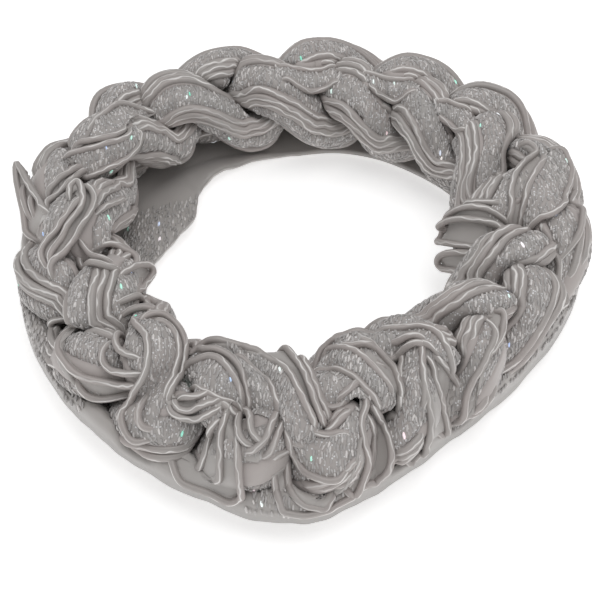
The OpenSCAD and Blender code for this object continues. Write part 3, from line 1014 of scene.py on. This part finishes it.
@cache
def sweep_tree():
    """Sweeps a round cord along each run of edges, a little thicker and thinner along its way."""
    tree, take, give = start_tree("Cord Sweep", "GeometryNodeTree", [
        ("Geometry", "Geometry", None), ("Cord radius", "Float", 0.9 * MM), ("Sides", "Int", 10),
        ("Unevenness", "Float", 0.06), ("Material", "Material", None),
    ], ("Geometry", "Geometry"))
    curve = node(tree, "GeometryNodeMeshToCurve", Mesh=take["Geometry"])
    curve = keep(tree, curve, "run", node(tree, "GeometryNodeSplineParameter").outputs["Length"])
    curve = keep(tree, curve, "course", node(tree, "GeometryNodeInputTangent"), "FLOAT_VECTOR")
    stray = reckon(tree, "MULTIPLY_ADD", node(tree, "ShaderNodeTexNoise", Scale=260.0, Detail=1.0), 2.0, -1.0)
    width = reckon(tree, "MULTIPLY_ADD", stray, take["Unevenness"], 1.0)
    cord = node(
        tree, "GeometryNodeCurveToMesh", Curve=curve, Fill_Caps=True,
        Profile_Curve=node(
            tree, "GeometryNodeCurvePrimitiveCircle", mode="RADIUS", Resolution=take["Sides"], Radius=1.0
        ),
        Scale=reckon(tree, "MULTIPLY", width, take["Cord radius"]),
    )
    facing, off = node(tree, "GeometryNodeInputNormal"), stored(tree, "outward")
    beside = node(tree, "ShaderNodeVectorMath", stored(tree, "course"), off, operation="CROSS_PRODUCT")
    aside = node(tree, "ShaderNodeVectorMath", facing, beside, operation="DOT_PRODUCT").outputs["Value"]
    above = node(tree, "ShaderNodeVectorMath", facing, off, operation="DOT_PRODUCT").outputs["Value"]
    # The angle round the cord from its outward side, which places the satin's painted highlight, a lighter
    # line of colour along the crest
    marked = keep(tree, cord, "around", reckon(tree, "ARCTAN2", aside, above))
    return end_tree(tree, take, give, marked, True)


@cache
def stitch_tree():
    """Sets one small thread loop on each point, laid along its own direction, with random sizes."""
    tree, take, give = start_tree("Thread Stitches", "GeometryNodeTree", [
        ("Geometry", "Geometry", None), ("Loop length", "Float", MM), ("Loop width", "Float", 0.5 * MM),
        ("Size spread", "Float", 0.25), ("Seed", "Int", 3), ("Material", "Material", None),
    ], ("Geometry", "Geometry"))
    face = node(tree, "FunctionNodeAlignRotationToVector", axis="Z", Vector=stored(tree, "up"))
    turn = node(
        tree, "FunctionNodeAlignRotationToVector", axis="X", pivot_axis="Z",
        Rotation=face, Vector=stored(tree, "lie"),
    )
    spread = node(tree, "FunctionNodeRandomValue", data_type="FLOAT", Seed=take["Seed"])
    low, high = [s for s in spread.inputs if s.name in ("Min", "Max") and s.type == "VALUE"]
    feed(tree, low, reckon(tree, "SUBTRACT", 1.0, take["Size spread"]))
    feed(tree, high, reckon(tree, "ADD", 1.0, take["Size spread"]))
    size = [s for s in spread.outputs if s.type == "VALUE"][0]
    wide = reckon(tree, "MULTIPLY", size, take["Loop width"])
    loops = node(
        tree, "GeometryNodeInstanceOnPoints", Rotation=turn,
        Points=node(tree, "GeometryNodeMeshToPoints", Mesh=take["Geometry"]),
        Instance=node(tree, "GeometryNodeMeshIcoSphere", Radius=0.5, Subdivisions=1),
        Scale=node(
            tree, "ShaderNodeCombineXYZ", reckon(tree, "MULTIPLY", size, take["Loop length"]), wide, wide
        ),
    )
    return end_tree(tree, take, give, loops, False)


@cache
def grain_group():
    """Fine even grain, as of thread or weave, put out as a height."""
    tree, take, give = start_tree("Thread Grain", "ShaderNodeTree", [
        ("Vector", "Vector", None), ("Fine scale", "Float", 2400.0), ("Coarse scale", "Float", 500.0),
        ("Coarse share", "Float", 0.4),
    ], ("Height", "Float"))
    fine = noise(tree, take["Vector"], take["Fine scale"], 2.0)
    coarse = noise(tree, take["Vector"], take["Coarse scale"])
    mixed = node(tree, "ShaderNodeMix", data_type="FLOAT", Factor=take["Coarse share"], A=fine, B=coarse)
    set_up(tree, give, mixed)
    return tree


def mix_colours(tree, share, first, second):
    """The colour that goes from the first to the second as the share goes from 0 to 1."""
    made = node(tree, "ShaderNodeMix", data_type="RGBA", Factor=share)
    for socket, source in zip([s for s in made.inputs if s.type == "RGBA"], (first, second)):
        feed(tree, socket, source)
    return [s for s in made.outputs if s.type == "RGBA"][0]


@cache
def tint_group():
    """A colour that drifts slowly over the surface towards a warmer neighbour."""
    tree, take, give = start_tree("Colour Drift", "ShaderNodeTree", [
        ("Vector", "Vector", None), ("Colour", "Color", (0.3, 0.3, 0.3, 1)),
        ("Warm", "Color", (0.34, 0.29, 0.29, 1)), ("Scale", "Float", 60.0), ("Amount", "Float", 0.5),
    ], ("Colour", "Color"))
    drift = noise(tree, take["Vector"], take["Scale"], 2.0)
    span = node(tree, "ShaderNodeMapRange", drift, From_Min=0.35, From_Max=0.65)
    share = reckon(tree, "MULTIPLY", span, take["Amount"])
    set_up(tree, give, mix_colours(tree, share, take["Colour"], take["Warm"]))
    return tree


# Materials

# From which share of its random range a stitch flashes, and the colours it flashes over the rest. A flashing
# stitch takes its colour as a tint and also glows with it, as a painted glint
FLASH_FROM = 0.992
FLASH_COLOURS = (
    (0.00, (0.95, 1.00, 1.00, 1)),
    (0.25, (0.55, 0.95, 0.80, 1)),
    (0.45, (0.20, 0.75, 0.55, 1)),
    (0.58, (0.80, 1.00, 0.95, 1)),
    (0.72, (0.45, 0.60, 1.00, 1)),
    (0.84, (0.95, 0.98, 1.00, 1)),
    (0.94, (1.00, 0.75, 0.80, 1)),
    (1.00, (1.00, 1.00, 0.95, 1)),
)
# The places and strengths of the shades that a stitch has when it doesn't flash
GLITTER_SHADES = ((0.00, 0.86), (0.45, 1.0), (0.80, 1.2), (1.00, 1.7))
# The share of the tape's ground that is foil, how wide a flake is in its cell, and its colour
FOIL_SHARE = 0.3
FOIL_WIDTH = 0.42
FOIL_COLOUR = (0.75, 0.75, 0.76, 1)
# How far the painted line of sheen, a painted highlight in the cord's colour, strays from a satin cord's
# crest, in radians
PAINTED_SHEEN_STRAY = 1.1
# Millimetres from one turn to the next of the thread that is wound round a satin cord
THREAD_PITCH = 0.32


def start_material(name):
    """A material with its tree, its shader and the object coordinates."""
    made = bpy.data.materials.new(name)
    made.use_nodes = True
    tree = made.node_tree
    return made, tree, tree.nodes["Principled BSDF"], node(tree, "ShaderNodeTexCoord").outputs["Object"]


def attribute(tree, name, output="Fac"):
    """What a piece's points carry, in a material."""
    return node(tree, "ShaderNodeAttribute", attribute_name=name).outputs[output]


def tint(tree, where, colour, warm, amount, scale):
    """A drifting colour."""
    return node(
        tree, "ShaderNodeGroup", node_tree=tint_group(), Vector=where,
        Colour=(*colour, 1), Warm=(*warm, 1), Amount=amount, Scale=scale,
    )


def grain(tree, where, **values):
    """The grain of thread or weave as a height."""
    return node(tree, "ShaderNodeGroup", node_tree=grain_group(), Vector=where, **values)


def bump(tree, height, strength, distance):
    """A height as a normal, over a distance of millimetres."""
    return node(tree, "ShaderNodeBump", Height=height, Strength=strength, Distance=distance * MM)


def ramp(tree, source, stops):
    """A number as a colour, by rows of place and colour."""
    made = node(tree, "ShaderNodeValToRGB", source)
    elements = made.color_ramp.elements
    while len(elements) > 1:
        elements.remove(elements[-1])
    elements[0].position, elements[0].color = stops[0]
    for at, colour in stops[1:]:
        elements.new(at).color = colour
    return made


def satin_material(colours):
    """Satin cord: a thin bright line of painted sheen, a painted highlight in its colour, strays along its
    crest; thread is wound round it.
    """
    made, tree, shader, where = start_material("Satin Cord")
    # The painted highlight: the colour turns light in a thin line near the crest, which strays by noise, and
    # the line fades in patches
    crest = reckon(tree, "MULTIPLY_ADD", noise(tree, where, 300.0), 2 * PAINTED_SHEEN_STRAY, -PAINTED_SHEEN_STRAY)
    away = reckon(tree, "ABSOLUTE", reckon(tree, "SUBTRACT", attribute(tree, "around"), crest))
    line = node(
        tree, "ShaderNodeMapRange", away, interpolation_type="SMOOTHSTEP",
        From_Min=0.07, From_Max=0.30, To_Min=1.0, To_Max=0.0,
    )
    patches = node(
        tree, "ShaderNodeMapRange", noise(tree, where, 95.0),
        From_Min=0.38, From_Max=0.56, To_Min=0.5, To_Max=1.0,
    )
    ground = tint(tree, where, colours.satin, colours.satin_warm, 0.8, 70.0)
    painted_sheen = reckon(tree, "MULTIPLY", line, patches)
    wind = reckon(tree, "MULTIPLY", attribute(tree, "run"), 2 * math.pi / (THREAD_PITCH * MM))
    fine = grain(tree, where, Fine_scale=1500.0, Coarse_scale=420.0, Coarse_share=0.7)
    height = reckon(tree, "MULTIPLY_ADD", reckon(tree, "SINE", wind), 0.06, fine)
    set_up(
        tree, shader, Base_Color=mix_colours(tree, painted_sheen, ground, (*colours.painted_sheen, 1)),
        Metallic=0.25, Roughness=0.5, Anisotropic=0.9, Tangent=attribute(tree, "course", "Vector"),
        Normal=bump(tree, height, 0.5, 0.16),
    )
    return made


def fabric_material(name, colour, warm, roughness):
    """Smooth woven fabric with a soft sheen and a fine weave."""
    made, tree, shader, where = start_material(name)
    weave = grain(tree, where, Fine_scale=2600.0, Coarse_scale=240.0, Coarse_share=0.5)
    set_up(
        tree, shader, Base_Color=tint(tree, where, colour, warm, 0.7, 45.0), Roughness=roughness,
        Sheen_Weight=0.3, Sheen_Roughness=0.5, Normal=bump(tree, weave, 0.35, 0.12),
    )
    return made


def tape_material(colours):
    """The ground of the knitted tape: dull thread with foil glinting through it."""
    made, tree, shader, where = start_material("Tape Ground")
    cells = node(tree, "ShaderNodeTexVoronoi", feature="F1", Vector=where, Scale=2300.0)
    chance = node(tree, "ShaderNodeSeparateColor", cells.outputs["Color"]).outputs["Red"]
    foil = reckon(
        tree, "MULTIPLY", reckon(tree, "GREATER_THAN", chance, 1 - FOIL_SHARE),
        reckon(tree, "LESS_THAN", cells.outputs["Distance"], FOIL_WIDTH),
    )
    thread = tint(tree, where, colours.tape, colours.satin_warm, 0.6, 90.0)
    set_up(
        tree, shader, Base_Color=mix_colours(tree, foil, thread, FOIL_COLOUR), Roughness=0.55,
        Normal=bump(tree, grain(tree, where), 0.7, 0.2),
    )
    return made


def glitter_material(colours):
    """Glitter thread: each stitch has its own shade, and a few are tinted in colour and glow with it as
    painted glints.
    """
    made, tree, shader, where = start_material("Glitter Thread")
    glint = attribute(tree, "glint")
    few = reckon(tree, "GREATER_THAN", glint, FLASH_FROM)
    within = node(tree, "ShaderNodeMapRange", glint, From_Min=FLASH_FROM, From_Max=1.0)
    flash = ramp(tree, within, FLASH_COLOURS)
    shades = [(at, (*[c * strength for c in colours.glitter], 1)) for at, strength in GLITTER_SHADES]
    # The few flashing stitches take their flash colour as a tint and glow with it through emission: painted
    # glints
    set_up(
        tree, shader, Metallic=0.2, Roughness=0.48, Emission_Strength=0.4,
        Base_Color=mix_colours(tree, few, ramp(tree, attribute(tree, "shade"), shades), flash),
        Emission_Color=mix_colours(tree, few, (0, 0, 0, 1), flash),
        Normal=bump(tree, grain(tree, where), 0.4, 0.1),
    )
    return made


def floor_material(colours):
    """A pale matt floor whose colour drifts faintly."""
    made, tree, shader, where = start_material("Floor")
    set_up(
        tree, shader, Roughness=0.8, Emission_Color=(1, 1, 1, 1), Emission_Strength=0.45,
        Base_Color=tint(tree, where, colours.floor, [c * 0.99 for c in colours.floor], 0.5, 2.0),
    )
    return made


@cache
def material(name):
    """One of the tie's materials, made when it is first asked for."""
    colours = bpy.context.scene.hair_tie_colours
    if name == "backing":
        return fabric_material("Backing Fabric", colours.backing, colours.backing, 0.6)
    if name == "fabric":
        return fabric_material("Smooth Fabric", colours.fabric, colours.fabric_warm, 0.42)
    return {"satin": satin_material, "tape": tape_material, "glitter": glitter_material}[name](colours)


# Properties

def length_property(name, description, default, least, most):
    """A length that a user may change, given here in millimetres."""
    return FloatProperty(
        name=name, description=description, default=default * MM, min=least * MM, max=most * MM,
        unit="LENGTH",
    )


def colour_property(name, description, default):
    """A colour that a user may change."""
    return FloatVectorProperty(
        name=name, description=description, default=default, size=3, min=0, max=1, subtype="COLOR",
    )


class HairTieSizes(bpy.types.PropertyGroup):
    """The sizes of the cords, tapes and fabric."""

    cord_width: length_property("Cord width", "Diameter of a satin cord", 1.85, 1.0, 2.5)
    tape_width: length_property("Tape width", "Width of a knitted glitter tape", 6.2, 2, 8)
    stitch_pitch: length_property(
        "Stitch pitch", "Distance from one row of knitted stitches to the next", 0.95, 0.6, 2
    )
    cord_lift: length_property("Cord lift", "How far a slack cord stands off its strand", 1.0, 0, 2)
    fabric_thickness: length_property(
        "Fabric thickness", "Thickness of the gathered band's cloth", 1.0, 0.5, 1.6
    )
    gathers: IntProperty(
        name="Gathers", description="Number of small gathers round the band",
        default=58, min=20, max=120,
    )


class HairTieColours(bpy.types.PropertyGroup):
    """The colours of the tie and of the stage."""

    satin: colour_property("Satin", "Colour of the satin cord", (0.42, 0.395, 0.38))
    satin_warm: colour_property("Satin, warm", "Its pinkish drift", (0.455, 0.41, 0.395))
    # The colour of the painted highlight, a light line painted along each cord's crest
    painted_sheen: colour_property("Sheen", "The thin bright line along a cord", (0.80, 0.78, 0.762))
    tape: colour_property("Tape", "Ground colour of the glitter tape", (0.39, 0.372, 0.36))
    glitter: colour_property("Glitter", "Main colour of the glitter thread", (0.46, 0.443, 0.435))
    backing: colour_property("Backing", "Colour of the fabric under the cords", (0.45, 0.41, 0.395))
    fabric: colour_property("Fabric", "Colour of the smooth band", (0.42, 0.40, 0.385))
    fabric_warm: colour_property("Fabric, warm", "Its warmer drift", (0.45, 0.42, 0.402))
    floor: colour_property("Floor", "Colour of the floor", (0.93, 0.93, 0.93))


# Operators

# A loop's length as a share of the stitch pitch, and its width as a share of the tape's width
TAPE_LOOP_LENGTH = 1.45
TAPE_LOOP_WIDTH = 0.076


class HAIRTIE_OT_base_band(bpy.types.Operator):
    """Builds the gathered band of smooth fabric under the plait"""

    bl_idname = "hairtie.base_band"
    bl_label = "Base Band"

    SECTIONS = 384
    ACROSS = 26
    # The middle share of the band's width that lies flat on the surface
    FLAT_SHARE = 0.5

    def execute(self, context):
        sizes = context.scene.hair_tie_sizes
        u = LOBE_COUNT * np.arange(self.SECTIONS) / self.SECTIONS
        share = np.linspace(0, 1, self.ACROSS)
        face = np.stack([band_place(u, s, sizes) for s in share], 1)
        _, _, out = surface_frames(face)
        under = face - out * sizes.fabric_thickness
        under[..., 2] = np.maximum(under[..., 2], 0.0)
        under[:, np.abs(share * 2 - 1) < self.FLAT_SHARE, 2] = 0.0
        rings = np.concatenate([face, under[:, ::-1]], 1)
        faces = tube_faces(self.SECTIONS, rings.shape[1], 0, True)
        piece = collect("fabric_band", rings.reshape(-1, 3), faces, material("fabric"))
        settle(piece, "smooth_fabric", "base_band")
        return {"FINISHED"}


class HAIRTIE_OT_strand_fabric(bpy.types.Operator):
    """Builds the fabric that each strand's cords and tapes are sewn on"""

    bl_idname = "hairtie.strand_fabric"
    bl_label = "Strand Fabric"

    AROUND = 52
    # How far the fabric lies under the skin: under a cord as a share of the cord's width, and
    # under a tape in millimetres
    UNDER_CORDS = 0.40
    UNDER_TAPES = 1.3
    # How far the fabric rises and falls, in millimetres
    UNEVEN = 0.15
    # The share of a strand's size with which its end is tucked into the strand that follows it
    TUCK = 0.96

    def execute(self, context):
        sizes = context.scene.hair_tie_sizes
        for strand, name in enumerate(STRANDS):
            outline = skin(strand)
            columns = []
            for k in range(self.AROUND):
                on_tape = tape_share(k / self.AROUND, sizes)
                under = self.UNDER_CORDS * sizes.cord_width / MM * (1 - on_tape)
                under += self.UNDER_TAPES * on_tape
                under = under + self.UNEVEN * smooth_noise(outline.t, 0.7, 40 + k)
                columns.append(outline.line(k / self.AROUND, under))
            rings = np.stack(columns, 1)
            middle = rings[-1].mean(0)
            tucked = middle + (rings[-1] - middle) * self.TUCK + (rings[-1] - rings[-2])
            rings = np.concatenate([rings, tucked[None]])
            faces = tube_faces(len(rings), self.AROUND, 0, False)
            piece = collect(name + "_fabric", rings.reshape(-1, 3), faces, material("backing"))
            settle(piece, "plait", name)
        return {"FINISHED"}


class HAIRTIE_OT_satin_cords(bpy.types.Operator):
    """Lays the satin cords side by side along each strand"""

    bl_idname = "hairtie.satin_cords"
    bl_label = "Satin Cords"

    # How far a cord strays in long bends and in short ones, as a share of the way round its strand
    WANDER = 0.0075
    FINE_WANDER = 0.0028
    # The noise from which a cord is slack, and how far any cord rises and falls, in millimetres
    SLACK_FROM = 0.2
    UNEVEN = 0.10
    # How bare a strand is where a slack cord starts to lift, and how much barer where it lifts fully
    BARE_FROM = 0.75
    BARE_OVER = 0.2
    # How far a cord runs on past the seam, as a share of its last step
    PAST_SEAM = 0.4

    def execute(self, context):
        sizes = context.scene.hair_tie_sizes
        for strand, name in enumerate(STRANDS):
            lines = [
                self.lay(skin(strand), 100 * number, centre, sizes)
                for number, centre, _ in bundle_parts(sizes, "c")
            ]
            cord_piece(name + "_cords", lines, sizes.cord_width / 2, name)
        return {"FINISHED"}

    def lay(self, outline, seed, centre, sizes):
        """The line of one cord, and its directions off the strand."""
        wander = self.WANDER * smooth_noise(outline.t, 0.7, seed + 1)
        wander += self.FINE_WANDER * smooth_noise(outline.t, 0.2, seed + 2)
        slack = np.clip(smooth_noise(outline.t, 0.7, seed + 3) - self.SLACK_FROM, 0, 1)
        lift = slack * sizes.cord_lift / MM + self.UNEVEN * smooth_noise(outline.t, 0.3, seed + 4)
        bare = fade_in(outline.read(outline.bare, centre), self.BARE_FROM, self.BARE_OVER)
        at = outline.read(outline.points, centre + wander)
        turn = np.degrees(np.arctan2(at[:, 1] - CENTRE_H, at[:, 0]))
        depth = sizes.cord_width / 2 / MM - lift * bare + SUNK_DEPTH * sunk(outline.u, turn)
        way = section_way(outline.u, outline.read(outline.out, centre + wander))
        line = outline.line(centre + wander, depth)
        past_seam = line[-1] + self.PAST_SEAM * (line[-1] - line[-2])
        return np.concatenate([line, [past_seam]]), np.concatenate([way, way[-1:]])


class HAIRTIE_OT_loose_cords(bpy.types.Operator):
    """Lays the cords that have slipped out of the strands and lie across them"""

    bl_idname = "hairtie.loose_cords"
    bl_label = "Loose Cords"

    def execute(self, context):
        sizes = context.scene.hair_tie_sizes
        lines = []
        for way in loose_ways(sizes).values():
            off = way[:, 1:] - [0, CENTRE_H]
            off /= np.linalg.norm(off, axis=1)[:, None]
            lines.append((place(*way.T), section_way(way[:, 0], off)))
        cord_piece("loose_cords", lines, LOOSE_WIDTH * sizes.cord_width / 2)
        return {"FINISHED"}


class HAIRTIE_OT_loose_webs(bpy.types.Operator):
    """Stretches the smooth cloth that shows between loose cords"""

    bl_idname = "hairtie.loose_webs"
    bl_label = "Loose Webs"

    # The cords on each side of a web, where one name alone is a cord that is bent back on itself
    PAIRS = (
        ("fan_1", "fan_2"), ("fan_2", "fan_3"), ("vee_1", "vee_2"), ("rim_1", "rim_2"),
        ("drop_2", "drop_3"), ("fall_1", "fall_2"), ("fall_2", "fall_3"),
        ("bend_1", "bend_2"), ("arc_1", "arc_2"), ("arc_2", "arc_3"), ("sweep_2", "sweep_3"),
        ("leaf_1", "leaf_2"), ("leaf_2", "leaf_3"), ("up_1", "up_2"), ("arch_1", "arch_2"),
        ("crest_1", "crest_2"), ("crest_3", "crest_4"), ("crest_4", "crest_5"), ("curl_1", "curl_2"),
        ("wing_2", "wing_3"),
        ("point_1",), ("point_2",), ("point_3",), ("corner_1",),
    )
    SECTIONS = 40
    ACROSS = 8

    def execute(self, context):
        ways = loose_ways(context.scene.hair_tie_sizes)
        faces = []
        for pair in self.PAIRS:
            if len(pair) == 1:
                way = ways[pair[0]]
                middle = len(way) // 2
                first, second = way[:middle], way[:-middle - 1:-1]
            else:
                first, second = (ways[name] for name in pair)
            faces.append(web_face(first, second, self.SECTIONS, self.ACROSS))
        cloth_piece("loose_webs", faces, WEB_THICKNESS, "fabric", "smooth_fabric")
        return {"FINISHED"}


class HAIRTIE_OT_glitter_tapes(bpy.types.Operator):
    """Builds the knitted tapes that lie between the cords"""

    bl_idname = "hairtie.glitter_tapes"
    bl_label = "Glitter Tapes"

    def execute(self, context):
        tapes = bundle_parts(context.scene.hair_tie_sizes, "t")
        for strand, name in enumerate(STRANDS):
            faces = [tape_surface(strand, centre, share) for _, centre, share in tapes]
            cloth_piece(name + "_tapes", faces, TAPE_THICKNESS, "tape", "glitter_tape", name)
        return {"FINISHED"}


class HAIRTIE_OT_tape_stitches(bpy.types.Operator):
    """Knits the glitter thread on the tapes, one loop at a time"""

    bl_idname = "hairtie.tape_stitches"
    bl_label = "Tape Stitches"

    def execute(self, context):
        sizes = context.scene.hair_tie_sizes
        rng = np.random.default_rng(7)
        for strand, name in enumerate(STRANDS):
            outline = skin(strand)
            laid = []
            for _, centre, share in bundle_parts(sizes, "t"):
                bare = outline.read(outline.bare, centre)
                laid.extend(knit(tape_surface(strand, centre, share), bare, sizes, rng))
            stitch_piece(name + "_stitches", laid, rng, 20 + strand, *tape_loop(sizes), name)
        return {"FINISHED"}


def tape_loop(sizes):
    """The length and the width of a loop of a tape's thread."""
    return sizes.stitch_pitch * TAPE_LOOP_LENGTH, sizes.tape_width * TAPE_LOOP_WIDTH


class HAIRTIE_OT_loose_tapes(bpy.types.Operator):
    """Lays the knitted tapes that are folded across the plait between loose cords"""

    bl_idname = "hairtie.loose_tapes"
    bl_label = "Loose Tapes"

    # The cords along the two sides of each tape
    BORDERS = (
        ("tongue_4", "tongue_2"), ("arch_2", "arch_3"), ("arch_4", "arch_5"), ("arch_3", "sill"),
        ("slip_1", "slip_2"), ("crest_1", "hem"), ("crease", "crest_2"), ("crest_3", "crease"),
        ("lap_2", "lap_1"), ("curl_2", "curl_3"), ("wing_2", "wing_1"),
        ("wing_4", "wing_3"), ("patch_1", "patch_2"), ("patch_3", "patch_4"), ("patch_5", "patch_6"),
    )
    SECTIONS = 60
    ACROSS = 9
    # How far a tape puffs up between its cords
    PUFF = 1.1

    def execute(self, context):
        sizes = context.scene.hair_tie_sizes
        ways = loose_ways(sizes)
        rng = np.random.default_rng(8)
        faces = [
            web_face(ways[first], ways[second], self.SECTIONS, self.ACROSS, -self.PUFF)
            for first, second in self.BORDERS
        ]
        cloth_piece("loose_tapes", faces, TAPE_THICKNESS, "tape", "glitter_tape")
        laid = [row for face in faces for row in knit(face, np.ones(self.SECTIONS), sizes, rng)]
        stitch_piece("loose_stitches", laid, rng, 28, *tape_loop(sizes))
        return {"FINISHED"}


class HAIRTIE_OT_band_stitches(bpy.types.Operator):
    """Sews rows of glitter thread along the band's two edges"""

    bl_idname = "hairtie.band_stitches"
    bl_label = "Band Stitches"

    # Each patch: its side of the band, the places where it starts and ends, its rows, and how much
    # later each row starts and sooner it ends
    PATCHES = (
        (-1, 1.50, 3.9, 14, 0.045), (1, 3.2, 4.7, 5, 0.02), (1, 6.5, 7.6, 5, 0.02), (1, 9.0, 15.5, 4, 0.02),
    )
    # How far the first row lies inside the edge, and how far apart the rows are
    FIRST_ROW = 0.5
    ROW_APART = 0.85
    # A stitch's pitch and length as shares of the stitch pitch, and its width as one of a tape's width
    PITCH = 1.08
    LOOP_LENGTH = 1.5
    LOOP_WIDTH = 0.084
    # How far the stitches slip along and across, as shares of the stitch pitch, how much their lie
    # strays, and how far they stand off, as a share of a tape's width
    SLIP_ALONG = 0.35
    SLIP_ACROSS = 0.2
    LIE_STRAY = 0.12
    RISE = 0.02
    # Half the width of the strip of band that gives a row its directions, in millimetres
    STRIP_HALF = 0.4
    SECTIONS = 384

    def execute(self, context):
        sizes = context.scene.hair_tie_sizes
        u = LOBE_COUNT * np.arange(self.SECTIONS + 1) / self.SECTIONS
        rng = np.random.default_rng(9)
        laid = []
        for side, first, last, rows, slant in self.PATCHES:
            for row in range(rows):
                some = u[(u >= first + slant * row) & (u <= last - slant * row)]
                laid.append(self.sew(some, side, self.FIRST_ROW + self.ROW_APART * row, sizes, rng))
        length, width = sizes.stitch_pitch * self.LOOP_LENGTH, sizes.tape_width * self.LOOP_WIDTH
        stitch_piece("band_stitches", laid, rng, 29, length, width)
        return {"FINISHED"}

    def sew(self, u, side, inset, sizes, rng):
        """The places, lies and facings of one row of stitches, inset from an edge by millimetres."""
        inner, outer = along(u, IN_REACH), along(u, OUT_REACH)
        width = inner + outer
        share = (outer + inner - inset) / width if side > 0 else inset / width
        step = self.STRIP_HALF / width
        strip = np.stack([band_place(u, share + k * step, sizes) for k in (-1, 0, 1)], 1)
        forward, aside, out = surface_frames(strip)
        middle = strip[:, 1]
        run = run_along(middle)
        places = np.arange(0, run[-1], sizes.stitch_pitch * self.PITCH)
        section = np.interp(places, run, np.arange(len(run)))
        low = np.floor(section).astype(int)
        high = np.minimum(low + 1, len(u) - 1)
        f = (section - low)[:, None]
        at = middle[low] * (1 - f) + middle[high] * f
        facing = out[low, 1] * (1 - f) + out[high, 1] * f
        astray = rng.normal(0, 1, (2, len(at), 1))
        slip = forward[low, 1] * astray[0] * self.SLIP_ALONG + aside[low, 1] * astray[1] * self.SLIP_ACROSS
        lie = FORE_AND_AFT + self.LIE_STRAY * forward[low, 1] * astray[1]
        rise = facing * sizes.tape_width * self.RISE
        return at + slip * sizes.stitch_pitch + rise, lie, facing


class HAIRTIE_OT_stage(bpy.types.Operator):
    """Sets the pale floor, the soft lights and the camera at the photograph's angle"""

    bl_idname = "hairtie.stage"
    bl_label = "Stage"

    # Half the floor's width in metres
    FLOOR_HALF = 3

    def execute(self, context):
        scene = context.scene
        half = self.FLOOR_HALF
        floor = collect(
            "floor", [(-half, -half, 0), (half, -half, 0), (half, half, 0), (-half, half, 0)],
            [(0, 1, 2, 3)], floor_material(scene.hair_tie_colours), closed=False,
        )
        scene.world = bpy.data.worlds.new("Studio")
        scene.world.use_nodes = True
        sky = scene.world.node_tree
        set_up(sky, sky.nodes["Background"], Color=(1, 1, 1, 1), Strength=0.58)
        area_light("key", (0.10, -0.06, 0.50), 0.30, 0.5)
        area_light("top", (-0.15, 0.15, 0.90), 0.70, 0.9)
        scene.camera = photo_camera()
        scene.view_settings.view_transform = "Standard"
        return {"FINISHED"}


def aim(made, at, ahead):
    """Puts a lamp or a camera in its place and turns it the way that it faces."""
    made.location = at
    made.rotation_mode = "QUATERNION"
    made.rotation_quaternion = ahead.to_track_quat("-Z", "Y")
    return made


def area_light(name, at, size, watts):
    """A soft square lamp that faces the tie."""
    data = bpy.data.lights.new(name, "AREA")
    data.size = size
    data.energy = watts
    return aim(link_object(name, data), at, -Vector(at))


def photo_camera():
    """A camera that sees the ring's middle at the photograph's pixel, angle and scale."""
    focal = CAMERA_DISTANCE_MM / PIXEL_MM
    tilt = math.radians(CAMERA_ELEVATION)
    back = Vector((0, -math.cos(tilt), math.sin(tilt)))
    right = Vector((1, 0, 0))
    up = back.cross(right)
    aside = (IMAGE_SIZE / 2 - LOOK_AT_PIXEL[0]) / focal
    down = (IMAGE_SIZE / 2 - LOOK_AT_PIXEL[1]) / focal
    ahead = (-back + right * aside - up * down).normalized()
    data = bpy.data.cameras.new("camera")
    data.sensor_width = SENSOR_MM
    data.lens = focal / IMAGE_SIZE * SENSOR_MM
    data.clip_start = 0.01
    return aim(link_object("camera", data), (Vector(LOOK_AT_MM) + back * CAMERA_DISTANCE_MM) * MM, ahead)


class HAIRTIE_PT_panel(bpy.types.Panel):
    """Lists the steps that build the tie, with its sizes and colours"""

    bl_label = "Plaited Hair Tie"
    bl_idname = "HAIRTIE_PT_panel"
    bl_space_type = "VIEW_3D"
    bl_region_type = "UI"
    bl_category = "Hair Tie"

    def draw(self, context):
        layout = self.layout
        for step in STEPS:
            layout.operator(step.bl_idname)
        for block in (context.scene.hair_tie_sizes, context.scene.hair_tie_colours):
            box = layout.box()
            for name in block.__annotations__:
                box.prop(block, name)


STEPS = (
    HAIRTIE_OT_stage,
    HAIRTIE_OT_base_band,
    HAIRTIE_OT_strand_fabric,
    HAIRTIE_OT_satin_cords,
    HAIRTIE_OT_loose_cords,
    HAIRTIE_OT_loose_webs,
    HAIRTIE_OT_glitter_tapes,
    HAIRTIE_OT_tape_stitches,
    HAIRTIE_OT_loose_tapes,
    HAIRTIE_OT_band_stitches,
)
CLASSES = (HairTieSizes, HairTieColours, *STEPS, HAIRTIE_PT_panel)


def register():
    for each in CLASSES:
        bpy.utils.register_class(each)
    bpy.types.Scene.hair_tie_sizes = PointerProperty(type=HairTieSizes)
    bpy.types.Scene.hair_tie_colours = PointerProperty(type=HairTieColours)


def unregister():
    del bpy.types.Scene.hair_tie_colours
    del bpy.types.Scene.hair_tie_sizes
    for each in reversed(CLASSES):
        bpy.utils.unregister_class(each)


def main():
    register()
    for step in STEPS:
        family, name = step.bl_idname.split(".")
        getattr(getattr(bpy.ops, family), name)()


if __name__ == "__main__":
    main()
